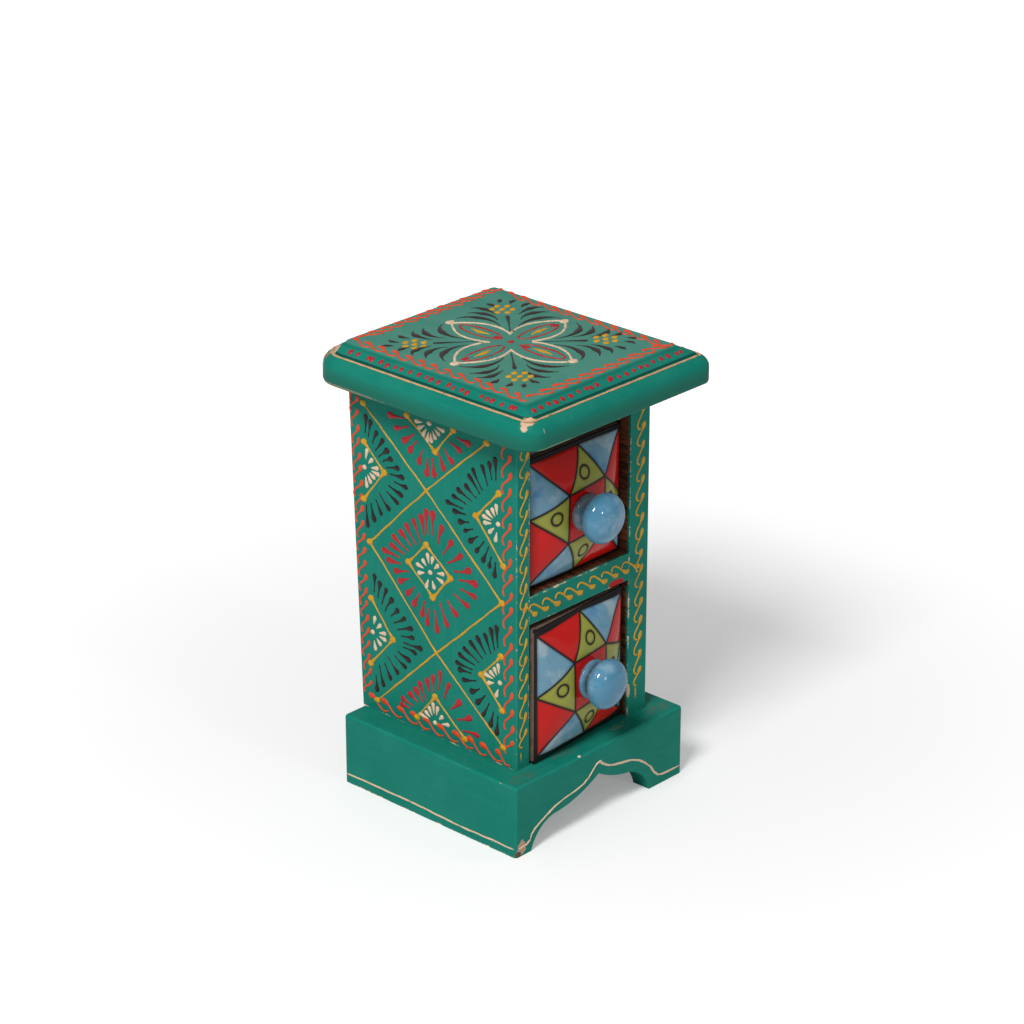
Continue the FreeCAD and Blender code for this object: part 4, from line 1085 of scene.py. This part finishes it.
# The unpainted boards: material, light and dark colour, and the grain's direction. None means the stain.
PLAIN_BOARDS = {
    "back_panel": ("Stained wood", None, (0.07, 0.03, 0.016), (1.0, 1.0, 0.1)),
    # The ceiling board's near-black colours are painted shade over the stain, for the shadow under the top.
    "ceiling_board": ("Shaded wood", (0.02, 0.009, 0.006), (0.008, 0.004, 0.003), (0.1, 1.0, 1.0)),
    "glue_blocks": ("Bare wood", (0.42, 0.25, 0.14), (0.25, 0.13, 0.07), (1.0, 1.0, 0.1)),
}


class CHEST_OT_boards(bpy.types.Operator):
    """Paints the case and plinth boards, and finishes what is inside"""
    bl_idname = "chest.boards"
    bl_label = "Boards"

    def execute(self, context):
        colours = context.scene.chest_colours
        for name, (stretch, reach, inside) in BOARDS.items():
            box = (PLINTH_LOW, PLINTH_HIGH) if name.startswith("plinth") else node_box(name)
            scuffed = LEDGE_SCUFFS if name in ("plinth_front", "base_board") else ()
            set_material(name, painted_board(f"Painted {name}", box, stretch, reach, colours, inside,
                                             BOARD_PATCHES.get(name, ()), scuffed))
        for name, (title, light, dark, stretch) in PLAIN_BOARDS.items():
            material, shading, shader = new_material(title)
            wood = shading.group("Wood", Place=shading.place(), Stretch=stretch,
                                 Light=light or colours.stain, Dark=dark)
            dress(shading, shader, wood["Colour"], 0.6, bump=(wood["Height"], 0.5, 0.15))
            set_material(name, material)
        return {"FINISHED"}


class CHEST_OT_top(bpy.types.Operator):
    """Builds the moulded top board"""
    bl_idname = "chest.top"
    bl_label = "Top board"

    def execute(self, context):
        colours = context.scene.chest_colours
        points, faces, inset = top_board_mesh(context.scene.chest_sizes.field_level)
        piece = add_piece("top", points, faces, "case", "painted_wood", top_material(colours),
                          inset=inset)
        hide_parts("top_board")
        return {"FINISHED"}


class CHEST_OT_drawers(bpy.types.Operator):
    """Glazes both drawers' fronts and finishes their ceramic"""
    bl_idname = "chest.drawers"
    bl_label = "Drawers"

    def execute(self, context):
        colours = context.scene.chest_colours
        sizes = context.scene.chest_sizes
        biscuit, shading, shader = new_material("Biscuit")
        place = shading.place()
        tone = shading.noise(place, 0.2, detail=5.0)
        colour = shading.blend(shading.step(tone, 0.35, 0.7), colours.biscuit, (0.1, 0.055, 0.035))
        dress(shading, shader, colour, 0.7, bump=(shading.noise(place, 1.5, detail=4.0), 0.5, 0.15))
        glaze = glaze_material()
        for level, drawer in DRAWERS.items():
            points, faces, colour, line, distance = tile_mesh(drawer, drawer_height(level), sizes, colours)
            add_piece(f"{level}_tile", on_drawer(level, points), faces, f"{level}_drawer_body",
                      "drawer_ceramic", glaze, glaze_colour=colour, line=line, pool=distance)
            set_material(f"{level}_drawer", biscuit)
        return {"FINISHED"}


class CHEST_OT_knobs(bpy.types.Operator):
    """Builds the two glazed knobs and finishes their fixings"""
    bl_idname = "chest.knobs"
    bl_label = "Knobs"

    def execute(self, context):
        material = knob_material(context.scene.chest_colours)
        seat = context.scene.chest_sizes.crown_height
        for level, drawer in DRAWERS.items():
            points, faces, waist = knob_mesh(seat, *drawer["knob"])
            points = points + np.array([0.0, drawer_height(level) / 2, 0.0])
            piece = add_piece(f"{level}_knob_glazed", on_drawer(level, points), faces,
                              f"{level}_drawer_body", "knob_ceramic", material, waist=waist)
            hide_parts(f"{level}_knob")
        steel, shading, shader = new_material("Steel")
        grain = shading.noise(shading.place(), 3.0, detail=3.0)
        dress(shading, shader, shading.blend(grain, (0.5, 0.5, 0.48), (0.35, 0.33, 0.3)),
              shading.step(grain, 0.3, 0.7, 0.25, 0.45))
        shader.inputs["Metallic"].default_value = 1.0
        for name in NODES:
            if name.endswith(("_pins", "_stud", "_washer", "_nut")):
                set_material(name, steel)
        return {"FINISHED"}


# Ornament

TOWARD = {"up": (0.0, 1.0), "down": (0.0, -1.0), "back": (1.0, 0.0), "front": (-1.0, 0.0)}

# Each fan of drops on the side: its middle, its colour and its arms. An arm runs from one direction
# to the next with a count, and with the reach of the heads and of the tails from the middle.
SIDE_FANS = (
    ((49.4, 108.8), "crimson", (("back", "up", 8, 31.5, 18.5), ("up", "front", 6, 31.5, 17.5),
                                ("front", "down", 5, 31.0, 18.0), ("down", "back", 7, 28.5, 17.5))),
    ((49.1, 176.0), "crimson", (("back", "down", 6, 27.5, 16.0), ("down", "front", 5, 26.8, 16.8))),
    ((88.1, 145.7), "black", (("up", "front", 8, 26.8, 16.6), ("front", "down", 7, 29.7, 18.8))),
    ((10.3, 142.5), "black", (("up", "back", 9, 32.6, 19.8), ("back", "down", 8, 28.3, 18.6))),
    ((84.4, 69.9), "black", (("up", "front", 9, 32.0, 20.5), ("front", "down", 7, 30.0, 18.9))),
    ((9.4, 70.8), "black", (("up", "back", 8, 29.8, 17.0), ("back", "down", 7, 27.8, 17.0))),
    ((47.4, 39.2), "crimson", (("back", "up", 7, 24.6, 15.2), ("up", "front", 5, 30.3, 17.6))),
)

# The outline of the small diamond, or of its half, at each fan's middle.
SIDE_DIAMONDS = (
    ((51.6, 120.7), (62.2, 109.7), (48.1, 97.5), (37.7, 109.7), (51.6, 120.7)),
    ((62.0, 176.3), (45.9, 164.3), (35.3, 177.1)),
    ((87.6, 157.2), (75.8, 146.5), (88.4, 131.0)),
    ((9.9, 156.2), (22.9, 142.5), (7.4, 124.5)),
    ((85.0, 85.7), (72.1, 70.2), (85.8, 54.5)),
    ((8.9, 83.1), (20.1, 70.9), (8.2, 58.2)),
    ((58.2, 37.9), (47.3, 51.4), (29.9, 37.2)),
)

# The big lattice: crossings and the points where its lines end at the borders.
SIDE_LATTICE = (
    ((16.6, 176.5), (51.4, 145.5), (85.2, 112.0), (46.2, 72.4), (7.6, 41.1)),
    ((87.7, 174.8), (51.4, 145.5), (8.3, 107.6), (46.2, 72.4), (82.3, 37.9)),
)

# The flowers of drops: middle, and the petals from one direction to the next with their count.
SIDE_FLOWERS = (
    ((49.4, 108.8), (("back", "up", 3), ("up", "front", 3), ("front", "down", 2), ("down", "back", 2))),
    ((49.1, 176.2), (("back", "down", 4), ("down", "front", 4))),
    ((87.6, 145.7), (("up", "front", 3), ("front", "down", 4))),
    ((10.3, 142.5), (("up", "back", 4), ("back", "down", 3))),
    ((84.4, 69.9), (("up", "front", 3), ("front", "down", 3))),
    ((9.4, 70.8), (("up", "back", 4), ("back", "down", 2))),
    ((47.4, 39.0), (("back", "up", 4), ("up", "front", 3))),
)

# Each scroll border of the side: from, to, how many scrolls, how wide and how fat their heads.
SIDE_BORDERS = (((6.2, 183.0), (4.6, 38.0), 19, 4.4, 1.05), ((93.9, 183.0), (88.0, 40.0), 23, 4.2, 1.0),
                ((87.6, 36.6), (4.5, 35.8), 10, 4.8, 1.4), ((7.0, 181.6), (88.0, 181.6), 10, 4.4, 1.0))
SIDE_DOT = 1.7
# A fan's heads end at this share of their reach.
FAN_SHARE = 0.94


def between(first, second, share):
    """Directions at shares of the way from one named direction to the next."""
    return (1 - share) * TOWARD[first] + share * TOWARD[second]


def side_relief(colours, sizes, seed):
    """The side panel's lattice, diamonds, fans, flowers and scroll borders."""
    relief = Relief(sizes.relief)
    uneven = np.random.default_rng(seed)
    half = sizes.line_width / 2
    for number, corners in enumerate(SIDE_LATTICE):
        relief.line(corners, half, colours.gold, gather=0.2, seed=seed + number)
        relief.dots([corners[0], corners[-1], corners[2]], SIDE_DOT, colours.gold)
    for number, corners in enumerate(SIDE_DIAMONDS):
        for place, edge in enumerate(zip(corners, corners[1:])):
            relief.line(edge, half, colours.gold, gather=1.15, seed=seed + 10 * number + place)
        relief.dots(corners[:4], SIDE_DOT, colours.gold)
    for middle, tint, arms in SIDE_FANS:
        tails = []
        heads = []
        for first, second, count, head_reach, tail_reach in arms:
            share = (np.arange(count)[:, None] + 0.5 + uneven.normal(size=(count, 1)) * 0.06) / count
            way = between(first, second, share)
            # A drop near the middle of an arm reaches a little further than one at a vertex.
            bulge = 1 + 0.1 * np.sin(np.pi * share)
            reach = head_reach + uneven.normal(size=(count, 1)) * 0.7
            heads.append(middle + way * bulge * reach * FAN_SHARE)
            tails.append(middle + way * (tail_reach + uneven.normal(size=(count, 1)) * 0.9))
        heads = np.concatenate(heads)
        tails = np.concatenate(tails)
        bends = uneven.normal(size=len(heads)) * 0.06
        crimson = tint == "crimson"
        fat = (1.75 if crimson else 1.5) + uneven.normal(size=len(heads)) * 0.14
        relief.drops(tails, heads, getattr(colours, tint), head=fat, tail=0.42 if crimson else 0.36,
                     bends=bends, power=uneven.uniform(2.2, 5.0, size=len(heads)), blob=0.12)
    for middle, arms in SIDE_FLOWERS:
        relief.dots(middle, 1.25, colours.cream)
        for first, second, count in arms:
            way = between(first, second, (np.arange(count)[:, None] + 0.5) / count)
            reach = 10.2 + uneven.normal(size=(count, 1)) * 0.4
            relief.drops(middle + way * 4.4, middle + way * reach, colours.cream, head=1.2, tail=0.3)
    for number, (start, end, count, width, head) in enumerate(SIDE_BORDERS):
        relief.chain(start, end, count, width, colours.orange, SIDE_SCROLL, head=head, tail=0.5,
                     mirror=True, seed=seed + 20 + number)
    return relief


class CHEST_OT_side_ornament(bpy.types.Operator):
    """Raises the lattice, flowers, drops and scrolls on both sides"""
    bl_idname = "chest.side_ornament"
    bl_label = "Side ornament"

    def execute(self, context):
        colours = context.scene.chest_colours
        sizes = context.scene.chest_sizes
        material = raised_paint_material()
        for name, level, out, seed in (("left_ornament", LEFT_LOW[0], -1.0, 11),
                                       ("right_ornament", RIGHT_HIGH[0], 1.0, 47)):
            side_relief(colours, sizes, seed).piece(name, lambda flat: np.column_stack(
                [level + out * flat[:, 2], CASE_FRONT + flat[:, 0], flat[:, 1]]), material)
        return {"FINISHED"}


# Half of one quarter of the top's black strokes, from the middle of the top. The other half mirrors it.
TOP_STROKES = (
    ((15.5, 10.5), (24.0, 12.6), (31.0, 10.5), (35.5, 4.3)),
    ((22.5, 15.0), (29.5, 17.2), (35.0, 15.2), (37.6, 12.4)),
    ((26.2, 20.4), (32.5, 21.6), (37.0, 20.9), (39.4, 18.2)),
)
TOP_SHORT_STROKES = (((34.0, 25.8), (37.4, 26.9), (40.0, 26.2)),)
TOP_CORNER_STROKES = (((33.6, 32.2), (36.6, 33.8), (38.8, 33.4)), ((31.4, 36.2), (33.6, 37.9), (35.4, 39.4)))
PETAL = ((34.0, 0.6), (29.0, 4.8), (22.4, 8.6), (15.0, 9.2), (9.6, 7.8), (6.3, 6.3))
FLOWER_MIDDLE = (0.1, 0.5)
CLUSTER = (26.6, 30.0)
CLUSTER_REACH = 4.4

# Each border of the top: from, to, how many scrolls and how wide.
TOP_BORDER = (((-43.0, 52.2), (-43.0, -47.6), 13, 4.6), ((-40.9, -48.2), (44.5, -48.2), 11, 4.2),
              ((-39.2, 49.0), (44.5, 49.4), 12, 4.2), ((42.3, 43.4), (40.4, -50.0), 11, 3.7))

# The tan line at the foot of the moulding: its inset and level, and its corners' radii as for the lip.
TOP_LINE_INSET = 4.2
TOP_LINE_LEVEL = 197.8
TOP_LINE_RADII = (3.4, 1.6, 4.4, 9.4)

# Each row of dots along the moulding: from, to and how many.
TOP_DOT_ROWS = (((-49.2, 46.5), (-49.2, -51.0), 23), ((-47.5, -54.6), (46.0, -54.4), 22),
                ((51.6, -51.0), (51.6, 53.0), 23), ((46.0, 55.0), (-40.0, 55.0), 20))


def turned(points, quarter):
    """Turns points by quarter turns about the middle of the top."""
    cosine, sine = ((1, 0), (0, 1), (-1, 0), (0, -1))[quarter % 4]
    points = np.asarray(points, dtype=float)
    return points @ np.array([[cosine, sine], [-sine, cosine]])


class CHEST_OT_top_ornament(bpy.types.Operator):
    """Raises the four-petal flower, strokes, dot clusters, scrolls and lines on the top"""
    bl_idname = "chest.top_ornament"
    bl_label = "Top ornament"

    def execute(self, context):
        colours = context.scene.chest_colours
        sizes = context.scene.chest_sizes
        material = bpy.data.materials["Raised paint"]
        relief = Relief(sizes.relief)
        uneven = np.random.default_rng(5)
        for quarter in range(4):
            self.quarter(relief, colours, uneven, quarter)
        relief.dots(FLOWER_MIDDLE, 1.5, colours.crimson)
        for number, (start, end, count, width) in enumerate(TOP_BORDER):
            relief.chain(start, end, count, width, colours.orange, WIDE_SCROLL, head=1.15, tail=0.55,
                         seed=30 + number)
        relief.piece("top_ornament", lambda flat: flat + np.array([0.0, 0.0, sizes.field_level]), material)
        self.moulding(colours, sizes, material, uneven)
        return {"FINISHED"}

    def quarter(self, relief, colours, uneven, quarter):
        """One petal, the strokes and cluster to its left, and the almond inside it."""
        def put(points):
            points = np.asarray(points, dtype=float)
            shift = uneven.normal(size=(*points.shape[:-2], 1, 2)) * 0.45
            return turned(points + shift, quarter) + np.array(FLOWER_MIDDLE)

        black = colours.soft_black
        for order in (1, -1):
            strokes, short = (np.array(marks)[..., ::order] for marks in (TOP_STROKES, TOP_SHORT_STROKES))
            relief.leaves(put(strokes), black, fat=1.9, peak=0.6, power=1.9)
            relief.leaves(put(short), black, fat=1.6, peak=0.62, power=1.3)
        relief.leaves(put(TOP_CORNER_STROKES), black, fat=1.45, peak=0.55)
        relief.drops(put([(8.6, 7.8)]), put([(22.2, 23.0)]), black, head=1.1, tail=0.35, power=4.0)
        upper = np.array(PETAL)
        outline = np.concatenate([upper[::-1], upper[1:] * (1, -1)])
        relief.line(put(smoothed(outline)), 0.66, colours.cream, pitch=1.6, wander=0.04, seed=60 + quarter)
        relief.dots(put([PETAL[0]]), 2.2, colours.cream)
        way = np.linspace(0.0, np.pi, 9)
        almond = np.column_stack([17.2 - 11.8 * np.cos(way), 3.9 * np.sin(way)])
        almond = np.concatenate([almond, almond[::-1][1:] * (1, -1)])
        relief.line(put(almond), 0.5, colours.crimson, pitch=1.6, wander=0.08, seed=70 + quarter)
        tip, inner = (5.2, 9.6) if quarter % 2 else (29.2, 24.6)
        relief.drops(put([(tip, 0.0)]), put([(inner, 0.0)]), colours.crimson, head=1.5, tail=0.5, power=1.0)
        relief.leaves(put([((12.4, -0.3), (17.5, 0.4), (23.2, 0.0))]), colours.gold, fat=1.6, peak=0.5)
        angles = np.arange(6) * np.pi / 3 + 0.25
        ring = np.array(CLUSTER) + CLUSTER_REACH * np.column_stack([np.cos(angles), np.sin(angles)])
        relief.dots(put(np.concatenate([[CLUSTER], ring])), 1.5, colours.gold)

    def moulding(self, colours, sizes, material, uneven):
        """A tan line round the foot of the moulding and red dots along its slope."""
        relief = Relief(sizes.relief)
        low = TOP_LOW + TOP_LINE_INSET
        high = TOP_HIGH - TOP_LINE_INSET
        ring = rounded_ring(low[0], high[0], low[1], high[1], TOP_LINE_RADII)
        relief.line(np.concatenate([ring, ring[:1]]), 0.62, colours.tan, pitch=1.5, wander=0.05, seed=80)
        relief.piece("top_line", lambda flat: flat + np.array([0.0, 0.0, TOP_LINE_LEVEL]), material)
        relief = Relief(sizes.relief)
        spots = []
        for start, end, count in TOP_DOT_ROWS:
            share = (np.arange(count) + 0.5 + uneven.normal(size=count) * 0.18)[:, None] / count
            spots.append(np.array(start) * (1 - share) + np.array(end) * share)
        spots = np.concatenate(spots)
        spots += uneven.normal(size=spots.shape) * 0.25
        relief.dots(spots, 1.1 + uneven.normal(size=len(spots)) * 0.1, colours.crimson)
        relief.piece("top_dots", lambda flat: np.column_stack(
            [flat[:, :2], flat[:, 2] + moulding_level(flat, sizes.field_level)]), material)


# The scrolls and lines of the front are a little lower than the other raised paint.
FRONT_SHARE = 0.8
PLINTH_ARCH = ((-51.5, 3.9), (-44.9, 4.4), (-42.9, 9.1), (-35.6, 12.9), (-26.2, 16.6), (-11.9, 18.5),
               (-7.0, 21.5), (-1.6, 26.7), (2.0, 23.4), (6.6, 21.1), (14.0, 19.8), (22.4, 18.1),
               (31.3, 12.3), (36.3, 5.1), (41.0, 4.0), (52.0, 3.7))
PLINTH_FOOT = ((-50.8, 4.2), (-20.0, 3.6), (10.0, 4.6), (48.5, 4.2))


class CHEST_OT_front_ornament(bpy.types.Operator):
    """Raises the scrolls on the stiles and rail and the cream line along the plinth"""
    bl_idname = "chest.front_ornament"
    bl_label = "Front ornament"

    def execute(self, context):
        colours = context.scene.chest_colours
        sizes = context.scene.chest_sizes
        material = bpy.data.materials["Raised paint"]
        relief = Relief(sizes.relief * FRONT_SHARE)
        left = (LEFT_LOW[0] + LEFT_HIGH[0]) / 2 + 0.4
        right = (RIGHT_LOW[0] + RIGHT_HIGH[0]) / 2
        relief.chain((left, 184.0), (left - 0.4, 42.0), 17, 4.0, colours.gold, TALL_SCROLL, head=1.0,
                     tail=0.42, seed=90)
        relief.line([(left - 1.6, 40.5), (left - 1.2, 35.6)], 0.4, colours.gold, seed=91)
        relief.chain((right, 184.0), (right, 46.0), 17, 4.2, colours.gold, TALL_SCROLL, head=1.2,
                     tail=0.5, seed=92)
        relief.line([(right - 1.0, 46.0), (right - 0.8, 39.0)], 0.4, colours.gold, seed=93)
        rail = (SHELF_LOW[2] + SHELF_HIGH[2]) / 2
        relief.chain((right + 1.0, rail + 0.4), (left + 1.0, rail), 10, 4.9, colours.gold, WIDE_SCROLL,
                     head=1.25, tail=0.48, seed=94)
        relief.piece("front_ornament", lambda flat: np.column_stack(
            [flat[:, 0], CASE_FRONT - flat[:, 2], flat[:, 1]]), material)
        self.plinth(colours, sizes, material)
        return {"FINISHED"}

    def plinth(self, colours, sizes, material):
        """A cream line that follows the arch in front and runs along the foot at the sides."""
        front = Relief(sizes.relief * FRONT_SHARE)
        arch = smoothed(np.array(PLINTH_ARCH), rounds=1)
        front.line(arch, 0.55, colours.cream, pitch=1.5, wander=0.05, seed=95)
        front.piece("plinth_line", lambda flat: np.column_stack(
            [flat[:, 0], APRON_LOW[1] - flat[:, 2], flat[:, 1]]), material)
        for name, across, out, seed in (("plinth_left_line", APRON_LOW[0], -1.0, 96),
                                        ("plinth_right_line", APRON_HIGH[0], 1.0, 97)):
            side = Relief(sizes.relief * FRONT_SHARE)
            side.line(PLINTH_FOOT, 0.5, colours.cream, seed=seed)
            side.piece(name, lambda flat: np.column_stack(
                [across + out * flat[:, 2], flat[:, 0], flat[:, 1]]), material)


class CHEST_PT_panel(bpy.types.Panel):
    """Lists the steps and the settings in the sidebar"""
    bl_idname = "CHEST_PT_panel"
    bl_label = "Chest"
    bl_space_type = "VIEW_3D"
    bl_region_type = "UI"
    bl_category = "Chest"

    def draw(self, context):
        for operator in STEPS:
            self.layout.operator(operator.bl_idname)
        for settings in (context.scene.chest_sizes, context.scene.chest_colours, context.scene.chest_stage):
            for name in settings.__annotations__:
                self.layout.prop(settings, name)


STEPS = (CHEST_OT_stage, CHEST_OT_boards, CHEST_OT_top, CHEST_OT_drawers, CHEST_OT_knobs,
         CHEST_OT_side_ornament, CHEST_OT_top_ornament, CHEST_OT_front_ornament)
SETTINGS = {"chest_colours": ChestColours, "chest_sizes": ChestSizes, "chest_stage": ChestStage}
CLASSES = (*SETTINGS.values(), *STEPS, CHEST_PT_panel)


def register():
    for entry in CLASSES:
        bpy.utils.register_class(entry)
    for name, group in SETTINGS.items():
        setattr(bpy.types.Scene, name, PointerProperty(type=group))


def unregister():
    for name in SETTINGS:
        delattr(bpy.types.Scene, name)
    for entry in reversed(CLASSES):
        bpy.utils.unregister_class(entry)


def main():
    register()
    for step in STEPS:
        category, name = step.bl_idname.split(".")
        getattr(getattr(bpy.ops, category), name)()


if __name__ == "__main__":
    main()
